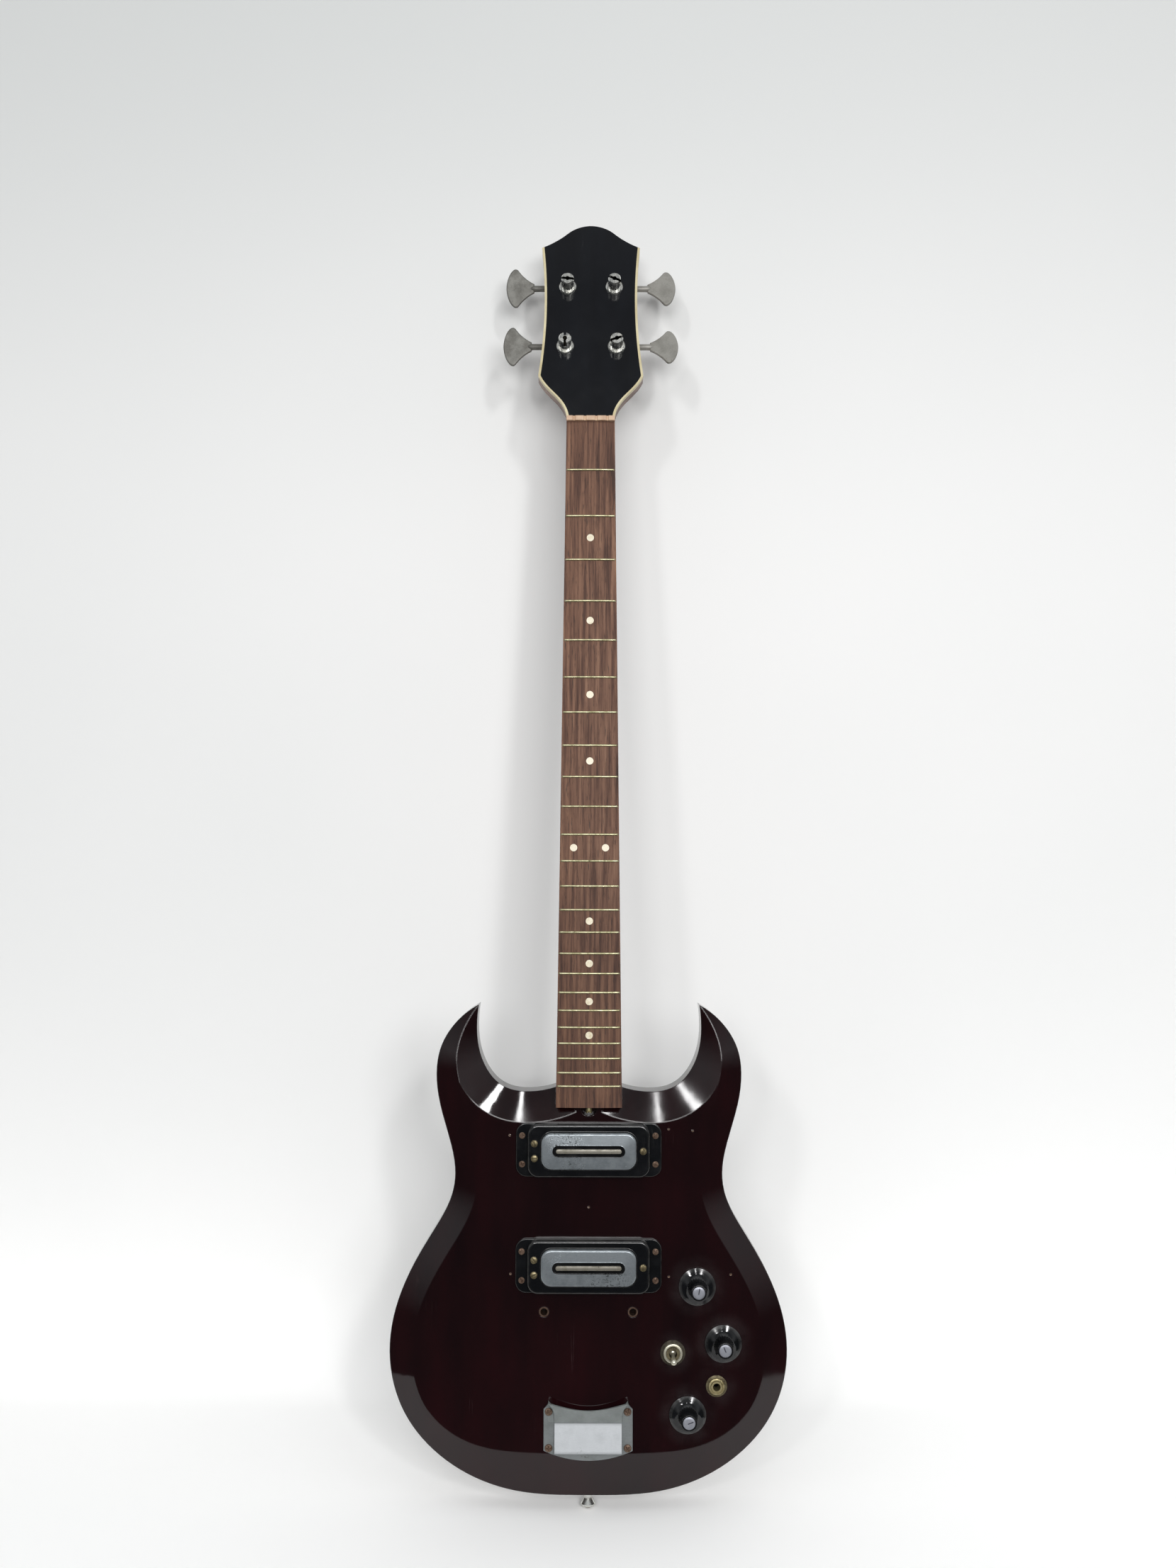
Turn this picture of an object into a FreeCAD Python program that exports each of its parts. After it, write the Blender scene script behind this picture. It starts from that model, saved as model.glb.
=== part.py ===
import FreeCAD, Part
import math
import os
import Sketcher

# A four-string electric bass guitar, upright, with its strings and bridge taken off.
# X runs to the right of the face, Y from the face to the back and Z up the neck.
# The origin is on the body's face, midway between the two bridge studs.

lengths = {
    # body
    "body_thickness": 38.0,
    "body_bottom_drop": 154.8,
    "lower_bout_half": 169.0,
    "lower_bout_drop": 34.0,
    "waist_half": 114.3,
    "waist_z": 112.0,
    "upper_bout_half": 130.9,
    "upper_bout_z": 197.5,
    "horn_tip_x": 95.0,
    "horn_tip_z": 257.5,
    "cutaway_z": 183.8,
    "bevel_depth": 9.0,
    "bevel_side_width": 20.0,
    "bevel_bottom_width": 37.0,
    "bevel_cutaway_width": 25.0,
    "back_chamfer": 4.0,
    "overrun": 4.0,
    "running_fit": 0.05,
    "joint_fit": 0.1,
    # neck and fingerboard
    "scale_length": 762.0,
    "board_end_z": 172.4,
    "board_nut_half": 20.9,
    "board_end_half": 28.0,
    "board_thickness": 6.0,
    "board_camber": 300.0,
    "neck_rise": 4.0,
    "neck_nut_depth": 17.0,
    "neck_heel_depth": 20.0,
    "heel_depth": 30.0,
    "heel_length": 24.0,
    "heel_sweep": 40.0,
    "tongue_half": 20.0,
    "tongue_length": 46.0,
    "tongue_thickness": 12.0,
    "nut_length": 4.0,
    "nut_height": 9.5,
    "nut_slot_radius": 1.2,
    "nut_slot_spacing": 9.6,
    "fret_width": 2.0,
    "fret_height": 1.2,
    "fret_inset": 0.5,
    "dot_radius": 3.1,
    "dot_depth": 2.0,
    "dot_pair_x": 13.6,
    "truss_rod_radius": 2.0,
    "truss_rod_depth": 3.6,
    "truss_rod_margin": 24.0,
    "truss_nut_radius": 2.8,
    "truss_nut_length": 6.0,
    "truss_nut_slot": 1.2,
    "truss_notch_half": 6.5,
    "truss_notch_length": 8.0,
    "truss_notch_depth": 8.0,
    # headstock, measured from the nut along its own face
    "head_length": 183.4,
    "head_shoulder_z": 162.0,
    "head_shoulder_half": 43.5,
    "head_waist_z": 99.8,
    "head_waist_half": 41.0,
    "head_flare_z": 39.8,
    "head_flare_half": 46.0,
    "head_thickness": 15.0,
    "volute_length": 34.0,
    "veneer_thickness": 2.0,
    "binding_width": 2.0,
    "binding_depth": 5.0,
    # tuning machines
    "post_upper_x": 20.6,
    "post_upper_z": 124.0,
    "post_lower_x": 22.6,
    "post_lower_z": 67.4,
    "post_radius": 5.5,
    "post_rise": 15.4,
    "post_slot_width": 2.2,
    "post_slot_depth": 6.0,
    "post_bore_radius": 1.9,
    "post_bore_depth": 11.0,
    "post_tail_radius": 3.0,
    "gear_screw_radius": 2.6,
    "gear_screw_height": 1.4,
    "ferrule_radius": 7.5,
    "ferrule_lip": 1.6,
    "ferrule_sleeve_radius": 6.6,
    "ferrule_sleeve_length": 9.0,
    "tuner_plate_width": 24.0,
    "tuner_plate_below": 13.0,
    "tuner_plate_above": 24.0,
    "tuner_plate_thickness": 1.5,
    "tuner_screw_inset": 3.4,
    "ear_thickness": 2.0,
    "ear_half_width": 3.6,
    "ear_margin": 2.2,
    "gear_pitch_radius": 6.5,
    "gear_thickness": 3.0,
    "gear_lift": 2.4,
    "tooth_crest": 0.6,
    "tooth_root": 0.8,
    "mesh_slack": 0.3,
    "worm_pitch_radius": 3.0,
    "worm_half_length": 5.2,
    "key_shaft_radius": 2.0,
    "key_neck_radius": 2.7,
    "button_start": 30.2,
    "button_length": 25.2,
    "button_half_height": 17.0,
    "button_thickness": 3.2,
    # pickups
    "pickup_neck_z": 136.0,
    "pickup_bridge_z": 39.0,
    "pickup_travel": 2.0,
    "surround_half_width": 61.8,
    "surround_half_height": 22.5,
    "surround_corner": 9.0,
    "surround_flange": 2.6,
    "surround_wall": 2.0,
    "raised_half_width": 51.8,
    "raised_height": 8.5,
    "surround_screw_x": 56.6,
    "surround_screw_z": 12.0,
    "cover_half_width": 40.2,
    "cover_half_height": 15.3,
    "cover_corner": 9.0,
    "cover_wall": 0.7,
    "cover_rise": 11.5,
    "cover_gap": 0.5,
    "pickup_depth": 8.0,
    "slot_half_width": 30.6,
    "slot_half_height": 4.9,
    "blade_half_width": 27.8,
    "blade_half_thickness": 1.9,
    "magnet_half_width": 30.0,
    "magnet_half_height": 8.0,
    "magnet_thickness": 4.0,
    "coil_gap": 0.3,
    "pickup_plate_half_width": 50.5,
    "pickup_plate_half_height": 15.4,
    "pickup_plate_thickness": 1.5,
    "height_screw_x": 46.0,
    "height_screw_z": 6.2,
    "height_screw_radius": 1.5,
    "height_screw_head": 3.0,
    "height_screw_head_height": 1.6,
    "height_screw_length": 22.0,
    "sleeve_radius": 2.8,
    "sleeve_gap": 0.3,
    "cavity_clearance": 1.5,
    "pickup_cavity_depth": 15.5,
    "pickup_cavity_corner": 4.0,
    # bridge and tailpiece
    "stud_half_spacing": 37.6,
    "stud_bore_radius": 3.0,
    "bushing_radius": 4.2,
    "bushing_length": 18.0,
    "tailpiece_half_width": 37.6,
    "tailpiece_top_half": 33.6,
    "tailpiece_top_drop": 73.2,
    "tailpiece_shoulder_drop": 80.0,
    "tailpiece_side_drop": 114.2,
    "tailpiece_bottom_drop": 122.4,
    "tailpiece_top_dip": 6.6,
    "tailpiece_sheet": 1.6,
    "hood_half_width": 28.6,
    "hood_height": 10.0,
    "valley_drop": 91.0,
    "valley_height": 2.4,
    "ramp_height": 6.4,
    "tailpiece_screw_x": 33.2,
    "tailpiece_screw_upper_drop": 82.0,
    "tailpiece_screw_lower_drop": 112.0,
    # controls
    "front_wall": 6.0,
    "knob_one_x": 92.0,
    "knob_one_z": 21.6,
    "knob_two_x": 114.0,
    "knob_two_drop": 25.6,
    "knob_three_x": 83.8,
    "knob_three_drop": 84.6,
    "switch_x": 71.4,
    "switch_drop": 33.5,
    "jack_x": 108.2,
    "jack_drop": 61.0,
    "cavity_margin": 20.0,
    "cavity_corner": 12.0,
    "cover_ledge": 6.0,
    "rear_cover_thickness": 2.6,
    "pot_radius": 10.0,
    "pot_depth": 9.0,
    "pot_bushing_radius": 4.0,
    "pot_bushing_rise": 3.6,
    "pot_nut_radius": 6.2,
    "pot_nut_height": 2.0,
    "pot_shaft_radius": 3.0,
    "knob_radius": 15.6,
    "knob_rim": 1.6,
    "knob_gap": 0.5,
    "knob_height": 22.0,
    "knob_stem_radius": 6.6,
    "knob_stem_base": 11.0,
    "knob_recess_radius": 8.0,
    "knob_recess_depth": 4.6,
    "knob_bore_depth": 16.0,
    "knob_flute_radius": 0.45,
    "cap_radius": 5.35,
    "cap_thickness": 1.2,
    "switch_housing_width": 22.0,
    "switch_housing_height": 14.0,
    "switch_housing_depth": 16.0,
    "switch_bushing_radius": 5.8,
    "switch_bushing_rise": 4.6,
    "switch_bore_radius": 3.5,
    "switch_pivot_depth": 2.0,
    "switch_nut_radius": 8.2,
    "switch_nut_height": 3.0,
    "washer_radius": 10.6,
    "washer_thickness": 0.8,
    "lever_length": 16.5,
    "lever_root_radius": 1.2,
    "lever_tip_radius": 1.9,
    "lever_ball_radius": 2.6,
    "jack_bore_radius": 3.2,
    "jack_barrel_radius": 4.8,
    "jack_barrel_rise": 3.6,
    "jack_nut_radius": 7.0,
    "jack_nut_height": 2.2,
    "jack_washer_radius": 9.0,
    "jack_flange_radius": 7.8,
    "jack_flange_thickness": 2.0,
    "jack_frame_depth": 20.0,
    "jack_leaf_thickness": 0.8,
    "jack_leaf_half_width": 2.6,
    "lead_hole_radius": 3.0,
    "lead_radius": 1.5,
    "lead_depth": 12.0,
    # wood screws
    "small_head_radius": 2.7,
    "small_head_height": 1.5,
    "small_shank_radius": 1.3,
    "small_shank_length": 11.0,
    "tuner_head_radius": 2.2,
    "tuner_head_height": 1.2,
    "tuner_shank_radius": 1.1,
    "tuner_shank_length": 9.0,
    "large_head_radius": 3.2,
    "large_head_height": 1.9,
    "large_shank_radius": 1.7,
    "large_shank_length": 16.0,
    # strap buttons
    "strap_head_radius": 6.4,
    "strap_waist_radius": 3.4,
    "strap_base_radius": 5.0,
    "strap_height": 12.0,
    "strap_rim": 2.0,
    "strap_back_z": 160.0,
    # screw holes left by a part that is gone
    "pilot_radius": 0.9,
    "pilot_depth": 8.0,
}

angles = {
    "headstock_tilt": 8.0,
    "tooth_flank": 20.0,
    "lever_tilt": 13.0,
    "key_turn_one": 14.0,
    "key_turn_two": -5.0,
    "key_turn_three": 12.0,
    "key_turn_four": -10.0,
    "post_turn_one": 5.0,
    "post_turn_two": 22.0,
    "post_turn_three": 90.0,
    "post_turn_four": -18.0,
}

counts = {
    "fret_count": 24,
    "gear_teeth": 20,
    "worm_turns": 4,
    "knob_flutes": 24,
}

# Outline points are shares of the two sizes that they lie between.
bottom_shares = [(0.36, 0.029), (0.583, 0.130), (0.767, 0.298), (0.917, 0.550)]
lower_side_shares = [(0.894, 0.257), (0.664, 0.468), (0.336, 0.680), (0.0475, 0.892)]
upper_side_shares = [(0.301, 0.363), (0.578, 0.544), (0.825, 0.725)]
horn_shares = [(0.902, 0.393), (0.6685, 0.653)]
cutaway_shares = [(1.015, 0.746), (0.962, 0.356), (0.782, 0.064), (0.484, 0.0), (0.253, 0.07)]
crown_shares = [(0.15, 0.965), (0.285, 0.88), (0.42, 0.73), (0.55, 0.52), (0.68, 0.335), (0.80, 0.19), (0.90, 0.088)]
flare_shares = [(0.55, 0.62), (0.24, 0.40), (0.06, 0.19)]
button_shares = [(0.0, 0.20), (0.12, 0.29), (0.26, 0.425), (0.40, 0.60), (0.51, 0.79), (0.59, 0.945), (0.66, 1.0),
                 (0.75, 0.955), (0.87, 0.745), (0.96, 0.41)]
dot_frets = [3, 5, 7, 9, 15, 17, 19, 21]
pair_fret = 12
semitones = 12


class Size:
    # A length, angle or count with its number and the formula that binds it to the sheet.
    def __init__(self, value, formula):
        self.value = value
        self.formula = formula

    def __add__(self, other):
        return Size(self.value + number(other), "(%s + %s)" % (self.formula, text(other)))

    def __radd__(self, other):
        return Size(number(other) + self.value, "(%s + %s)" % (text(other), self.formula))

    def __sub__(self, other):
        return Size(self.value - number(other), "(%s - %s)" % (self.formula, text(other)))

    def __rsub__(self, other):
        return Size(number(other) - self.value, "(%s - %s)" % (text(other), self.formula))

    def __mul__(self, other):
        return Size(self.value * number(other), "%s * %s" % (self.formula, text(other)))

    def __rmul__(self, other):
        return Size(number(other) * self.value, "%s * %s" % (text(other), self.formula))

    def __truediv__(self, other):
        return Size(self.value / number(other), "%s / %s" % (self.formula, text(other)))

    def __neg__(self):
        return Size(-self.value, "(0 - %s)" % self.formula)


def number(item):
    return item.value if isinstance(item, Size) else float(item)


def text(item):
    return item.formula if isinstance(item, Size) else repr(float(item))


def tangent(angle):
    return Size(math.tan(math.radians(angle.value)), "tan(%s)" % angle.formula)


class Sheet:
    pass


doc = FreeCAD.newDocument("bass_guitar")
table = doc.addObject("Spreadsheet::Sheet", "sizes")
d = Sheet()
for row, (alias, value) in enumerate(list(lengths.items()) + list(angles.items()) + list(counts.items())):
    table.set("A%d" % (row + 1), alias)
    table.set("B%d" % (row + 1), str(value))
    table.setAlias("B%d" % (row + 1), alias)
    setattr(d, alias, Size(value, "sizes." + alias))
doc.recompute()

nodes = {}
along = {
    "+x": ((0, 1, 0), 90),
    "-x": ((0, 1, 0), -90),
    "+y": ((1, 0, 0), -90),
    "-y": ((1, 0, 0), 90),
    "+z": ((0, 0, 1), 0),
    "-z": ((1, 0, 0), 180),
}


# Working helpers

def point(x, y, z):
    return FreeCAD.Vector(number(x), number(y), number(z))


def place(item, x=0, y=0, z=0, axis=(0, 0, 1), turn=0):
    spot = "vector(%s; %s; %s)" % (text(x), text(y), text(z))
    spin = "rotation(vector(%s; %s; %s); %s)" % (axis[0], axis[1], axis[2], text(turn))
    item.setExpression("Placement", "placement(%s; %s)" % (spot, spin))
    return item


def add(kind, name, **sizes):
    item = doc.addObject(kind, name)
    for key, value in sizes.items():
        item.setExpression(key, text(value))
    return item


def rod(name, radius, length, x=0, y=0, z=0, way="+y"):
    axis, turn = along[way]
    return place(add("Part::Cylinder", name, Radius=radius, Height=length), x, y, z, axis, turn)


def ball(name, radius, x=0, y=0, z=0):
    return place(add("Part::Sphere", name, Radius=radius), x, y, z)


def taper(name, first, second, length, x=0, y=0, z=0, way="+y"):
    axis, turn = along[way]
    return place(add("Part::Cone", name, Radius1=first, Radius2=second, Height=length), x, y, z, axis, turn)


def block(name, x, y, z, wide, deep, tall):
    return place(add("Part::Box", name, Length=wide, Width=deep, Height=tall), x, y, z)


def fuse(name, items):
    item = doc.addObject("Part::MultiFuse", name)
    item.Shapes = items
    item.Refine = False
    return item


def cut(name, base, tools):
    item = doc.addObject("Part::Cut", name)
    item.Base = base
    item.Tool = tools[0] if len(tools) == 1 else fuse(name + "_tools", tools)
    item.Refine = False
    return item


def common(name, first, second):
    item = doc.addObject("Part::Common", name)
    item.Base = first
    item.Tool = second
    return item


def gather(name, items):
    item = doc.addObject("Part::Compound", name)
    item.Links = items
    return item


def copy(name, source, x=0, y=0, z=0, axis=(0, 0, 1), turn=0):
    item = doc.addObject("App::Link", name)
    item.LinkedObject = source
    return place(item, x, y, z, axis, turn)


def mirrored(name, source):
    item = doc.addObject("Part::Mirroring", name)
    item.Source = source
    item.Normal = FreeCAD.Vector(1, 0, 0)
    return item


def shaped(name, shape):
    item = doc.addObject("Part::Feature", name)
    item.Shape = shape
    return item


def node(name, item):
    item.Label = name
    nodes[name] = item
    return item


def origin_plane(body, role):
    return [item for item in body.Origin.OriginFeatures if item.Role == role][0]


def polygon(body, name, plane, points):
    # A closed outline whose corners are each bound to the sheet.
    sketch = body.newObject("Sketcher::SketchObject", name)
    sketch.AttachmentSupport = [(origin_plane(body, plane), "")]
    sketch.MapMode = "FlatFace"
    spots = [FreeCAD.Vector(number(x), number(y), 0) for x, y in points]
    for index in range(len(spots)):
        sketch.addGeometry(Part.LineSegment(spots[index], spots[(index + 1) % len(spots)]))
    for index in range(len(spots)):
        after = (index + 1) % len(spots)
        sketch.addConstraint(Sketcher.Constraint("Coincident", index, 2, after, 1))
    for index, (x, y) in enumerate(points):
        for kind, value, axis in (("DistanceX", x, -2), ("DistanceY", y, -1)):
            if number(value) == 0:
                sketch.addConstraint(Sketcher.Constraint("PointOnObject", index, 1, axis))
                continue
            key = sketch.addConstraint(Sketcher.Constraint(kind, index, 1, number(value)))
            sketch.setExpression("Constraints[%d]" % key, text(value))
    return sketch


def slab(name, points, front, thickness, corner=None):
    # A plate with its outline in X and Z, its front face at the given Y.
    body = doc.addObject("PartDesign::Body", name)
    pad = body.newObject("PartDesign::Pad", name + "_pad")
    pad.Profile = polygon(body, name + "_outline", "XZ_Plane", points)
    pad.setExpression("Length", text(thickness))
    pad.Reversed = True
    place(body, 0, front, 0)
    if corner is not None:
        doc.recompute()
        edges = []
        for index, edge in enumerate(pad.Shape.Edges):
            run = edge.Vertexes[-1].Point - edge.Vertexes[0].Point
            if abs(run.x) + abs(run.z) < abs(run.y) / len(pad.Shape.Edges):
                edges.append("Edge%d" % (index + 1))
        rounding = body.newObject("PartDesign::Fillet", name + "_corners")
        rounding.Base = (pad, edges)
        rounding.setExpression("Radius", text(corner))
        pad.Visibility = False
        body.Tip = rounding
    return body


def tile(name, x, z, half_width, half_height, front, thickness, corner=None):
    corners = [(x - half_width, z - half_height), (x + half_width, z - half_height),
               (x + half_width, z + half_height), (x - half_width, z + half_height)]
    return slab(name, corners, front, thickness, corner)


def turned(name, profile):
    # A solid of revolution about Z from corners given as radius and height.
    body = doc.addObject("PartDesign::Body", name)
    sketch = polygon(body, name + "_profile", "XZ_Plane", profile)
    spin = body.newObject("PartDesign::Revolution", name + "_turn")
    spin.Profile = sketch
    spin.ReferenceAxis = (sketch, ["V_Axis"])
    spin.Angle = 360
    return body


def smooth(points):
    curve = Part.BSplineCurve()
    curve.interpolate(points)
    return curve


# Places that several pieces share

bridge_z = 0
board_top = d.neck_rise + d.board_thickness
controls = [
    ("one", d.knob_one_x, d.knob_one_z),
    ("two", d.knob_two_x, -d.knob_two_drop),
    ("three", d.knob_three_x, -d.knob_three_drop),
]
pickups = [("neck_pickup", d.pickup_neck_z), ("bridge_pickup", d.pickup_bridge_z)]
head_place = {"x": 0, "y": -(d.neck_rise + d.veneer_thickness), "z": d.scale_length + d.nut_length,
              "axis": (-1, 0, 0), "turn": d.headstock_tilt}
tuners = [
    ("one", -1, d.post_upper_x, d.post_upper_z, d.key_turn_one, d.post_turn_one),
    ("two", 1, d.post_upper_x, d.post_upper_z, d.key_turn_two, d.post_turn_two),
    ("three", -1, d.post_lower_x, d.post_lower_z, d.key_turn_three, d.post_turn_three),
    ("four", 1, d.post_lower_x, d.post_lower_z, d.key_turn_four, d.post_turn_four),
]


def board_half(z):
    share = (d.scale_length - z) / (d.scale_length - d.board_end_z)
    return d.board_nut_half + (d.board_end_half - d.board_nut_half) * share


def fret_z(index):
    return d.scale_length * (2 ** (-index / semitones))


# Wood screws, each group cut from one pattern and standing along +Z before it is placed

def wood_screw(name, head_radius, head_height, shank_radius, shank_length):
    tip = shank_length - shank_radius * 2
    return turned(name, [
        (0, head_height), (head_radius * 0.55, head_height), (head_radius, head_height * 0.45),
        (head_radius, 0), (shank_radius, 0), (shank_radius, -tip), (0, -shank_length)])


small_screw = wood_screw("small_screw", d.small_head_radius, d.small_head_height,
                         d.small_shank_radius, d.small_shank_length)
tuner_screw = wood_screw("tuner_screw", d.tuner_head_radius, d.tuner_head_height,
                         d.tuner_shank_radius, d.tuner_shank_length)
large_screw = wood_screw("large_screw", d.large_head_radius, d.large_head_height,
                         d.large_shank_radius, d.large_shank_length)


def screw_links(name, source, spots, way):
    axis, turn = along[way]
    return [copy("%s_%d" % (name, index), source, x, y, z, axis, turn)
            for index, (x, y, z) in enumerate(spots)]


# Body outline and its bevels

def between(start, end, share):
    return start + (end - start) * share


def outer_half():
    bottom = -d.body_bottom_drop.value
    lower = -d.lower_bout_drop.value
    spots = [(0, bottom)]
    for across, up in bottom_shares:
        spots.append((d.lower_bout_half.value * across, between(bottom, lower, up)))
    spots.append((d.lower_bout_half.value, lower))
    for across, up in lower_side_shares:
        spots.append((between(d.waist_half.value, d.lower_bout_half.value, across),
                      between(lower, d.waist_z.value, up)))
    spots.append((d.waist_half.value, d.waist_z.value))
    for across, up in upper_side_shares:
        spots.append((between(d.waist_half.value, d.upper_bout_half.value, across),
                      between(d.waist_z.value, d.upper_bout_z.value, up)))
    spots.append((d.upper_bout_half.value, d.upper_bout_z.value))
    for across, up in horn_shares:
        spots.append((between(d.horn_tip_x.value, d.upper_bout_half.value, across),
                      between(d.upper_bout_z.value, d.horn_tip_z.value, up)))
    spots.append((d.horn_tip_x.value, d.horn_tip_z.value))
    return spots


def cutaway_half():
    spots = [(d.horn_tip_x.value, d.horn_tip_z.value)]
    for across, up in cutaway_shares:
        spots.append((d.horn_tip_x.value * across, between(d.cutaway_z.value, d.horn_tip_z.value, up)))
    return spots


right_outer = outer_half()
right_inner = cutaway_half()
outer_curve = smooth([point(-x, 0, z) for x, z in reversed(right_outer[1:])]
                     + [point(x, 0, z) for x, z in right_outer])
inner_curve = smooth([point(x, 0, z) for x, z in right_inner])
inner_left_curve = smooth([point(-x, 0, z) for x, z in right_inner])


def body_blank():
    end_x, end_z = right_inner[-1]
    edges = [outer_curve.toShape(), inner_curve.toShape(), inner_left_curve.toShape(),
             Part.makeLine(point(end_x, 0, end_z), point(-end_x, 0, end_z))]
    outline = Part.Wire(Part.__sortEdges__(edges))
    return Part.Face(outline).extrude(point(0, d.body_thickness, 0))


def edge_cutter(curve, stations, width_at, depth, face_y, way):
    # A wedge that follows the outline: depth at the edge, nothing at the given width inside it.
    first = curve.FirstParameter
    last = curve.LastParameter
    reach = d.overrun.value
    sections = []
    for index in range(stations):
        spot = first + (last - first) * index / (stations - 1)
        ahead = curve.tangent(spot)[0]
        inward = FreeCAD.Vector(-ahead.z, 0, ahead.x)
        width = width_at(inward)
        slope = depth / width
        middle = curve.value(spot)
        middle.y = face_y
        shifts = [0]
        if index == 0:
            shifts = [-reach, 0]
        if index == stations - 1:
            shifts = [0, reach]
        for shift in shifts:
            base = middle + ahead * shift
            low = base - inward * reach + FreeCAD.Vector(0, way * (depth + reach * slope), 0)
            top = base + inward * (width + reach) - FreeCAD.Vector(0, way * reach * slope, 0)
            out = base - inward * reach - FreeCAD.Vector(0, way * reach * slope, 0)
            sections.append(Part.makePolygon([low, top, out, low]))
    return Part.makeLoft(sections, True, False)


def side_width(inward):
    # The bevel widens only where the outline runs across the bottom.
    share = max(0, inward.z) ** 6
    return between(d.bevel_side_width.value, d.bevel_bottom_width.value, share)


def cutaway_width(inward):
    return d.bevel_cutaway_width.value


def chamfer_width(inward):
    return d.back_chamfer.value


outer_stations = 57
inner_stations = 15
thickness = d.body_thickness.value
front_cuts = [edge_cutter(outer_curve, outer_stations, side_width, d.bevel_depth.value, 0, 1),
              edge_cutter(inner_curve, inner_stations, cutaway_width, d.bevel_depth.value, 0, 1)]
back_cuts = [edge_cutter(outer_curve, outer_stations, chamfer_width, d.back_chamfer.value, thickness, -1),
             edge_cutter(inner_curve, inner_stations, chamfer_width, d.back_chamfer.value, thickness, -1)]
across = FreeCAD.Vector(1, 0, 0)
bevels = front_cuts + back_cuts
bevels += [front_cuts[1].mirror(FreeCAD.Vector(), across), back_cuts[1].mirror(FreeCAD.Vector(), across)]
body_blank_item = shaped("body_blank", body_blank().cut(bevels))


# Neck, from the tongue in the body to the headstock

def bowl(half, top, depth, z):
    # The neck's section: flat under the fingerboard and round behind.
    steps = 8
    arc = []
    for step in range(steps + 1):
        angle = math.pi * step / steps
        arc.append(FreeCAD.Vector(half * math.cos(angle), top + depth * math.sin(angle), z))
    return Part.Wire([smooth(arc).toShape(), Part.makeLine(arc[-1], arc[0])])


def neck_shaft():
    top = -d.neck_rise.value
    low = bowl(d.board_end_half.value, top, d.neck_heel_depth.value, d.board_end_z.value)
    high = bowl(d.board_nut_half.value, top, d.neck_nut_depth.value, d.scale_length.value + d.nut_length.value)
    return Part.makeLoft([low, high], True, True)


def neck_volute():
    # The back of the neck runs out into the back of the headstock.
    top = -d.neck_rise.value
    low = bowl(d.board_nut_half.value, top, d.neck_nut_depth.value, d.scale_length.value + d.nut_length.value)
    core = d.head_thickness.value - d.veneer_thickness.value
    high = bowl(d.board_nut_half.value * 0.7, d.veneer_thickness.value, core * 0.96, d.volute_length.value)
    tilt = FreeCAD.Rotation(FreeCAD.Vector(-1, 0, 0), d.headstock_tilt.value)
    spot = point(head_place["x"], head_place["y"], head_place["z"])
    high.Placement = FreeCAD.Placement(spot, tilt)
    return Part.makeLoft([low, high], True, True)


def heel_side():
    # The heel's side view, with a swept curve up into the shaft.
    low = d.board_end_z.value
    full = low + d.heel_length.value
    end = full + d.heel_sweep.value
    top = -d.neck_rise.value
    deep = d.heel_depth.value
    shallow = top + d.neck_heel_depth.value * 0.6
    side = -d.board_end_half.value - d.overrun.value
    corner = FreeCAD.Vector(side, deep, full)
    bend = FreeCAD.Vector(side, between(shallow, deep, 0.36), between(full, end, 0.34))
    tip = FreeCAD.Vector(side, shallow, end)
    edges = [Part.makePolygon([FreeCAD.Vector(side, top, end), FreeCAD.Vector(side, top, low),
                               FreeCAD.Vector(side, deep, low), corner]),
             Part.Arc(corner, bend, tip).toShape(),
             Part.makeLine(tip, FreeCAD.Vector(side, top, end))]
    outline = Part.Wire([edge for item in edges for edge in item.Edges])
    return Part.Face(outline).extrude(FreeCAD.Vector(-2 * side, 0, 0))


def neck_plan(extra):
    low = d.board_end_z
    high = d.board_end_z + d.heel_length + d.heel_sweep + d.overrun
    return [(-(board_half(low) + extra), low - extra), (board_half(low) + extra, low - extra),
            (board_half(high) + extra, high), (-(board_half(high) + extra), high)]


neck_blank = shaped("neck_blank", neck_shaft())
volute = shaped("neck_volute", neck_volute())
heel_profile = shaped("heel_profile", heel_side())
heel_plan = slab("heel_plan", neck_plan(0), -d.neck_rise, d.neck_rise + d.heel_depth)
heel = common("heel", heel_profile, heel_plan)
tongue_top = d.heel_depth - d.tongue_thickness
tongue = block("tongue", -d.tongue_half, tongue_top, d.board_end_z - d.tongue_length,
               d.tongue_half * 2, d.tongue_thickness, d.tongue_length + d.heel_length * 0.5)
mortise = block("mortise", -(d.tongue_half + d.joint_fit), tongue_top - d.joint_fit,
                d.board_end_z - d.tongue_length - d.joint_fit, (d.tongue_half + d.joint_fit) * 2,
                d.tongue_thickness + d.joint_fit * 2, d.tongue_length + d.joint_fit)
pocket = slab("neck_pocket", neck_plan(d.joint_fit), -(d.neck_rise + d.overrun),
              d.neck_rise + d.overrun + d.heel_depth + d.joint_fit)


# Headstock, in its own frame: the face at Y zero, the nut's edge at Z zero

def head_sides(inset):
    # The right side from shoulder to nut: a long hollow curve, a pointed flare and a sweep to the nut.
    shoulder = FreeCAD.Vector(d.head_shoulder_half.value - inset, 0, d.head_shoulder_z.value)
    waist = FreeCAD.Vector(d.head_waist_half.value - inset, 0, d.head_waist_z.value)
    flare = FreeCAD.Vector(d.head_flare_half.value - inset, 0, d.head_flare_z.value)
    nut = FreeCAD.Vector(d.board_nut_half.value - inset, 0, 0)
    sweep = [flare]
    for across_share, up_share in flare_shares:
        sweep.append(FreeCAD.Vector(between(nut.x, flare.x, across_share), 0, flare.z * up_share))
    sweep.append(nut)
    return shoulder, waist, flare, sweep


def flip(spot):
    return FreeCAD.Vector(-spot.x, spot.y, spot.z)


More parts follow.
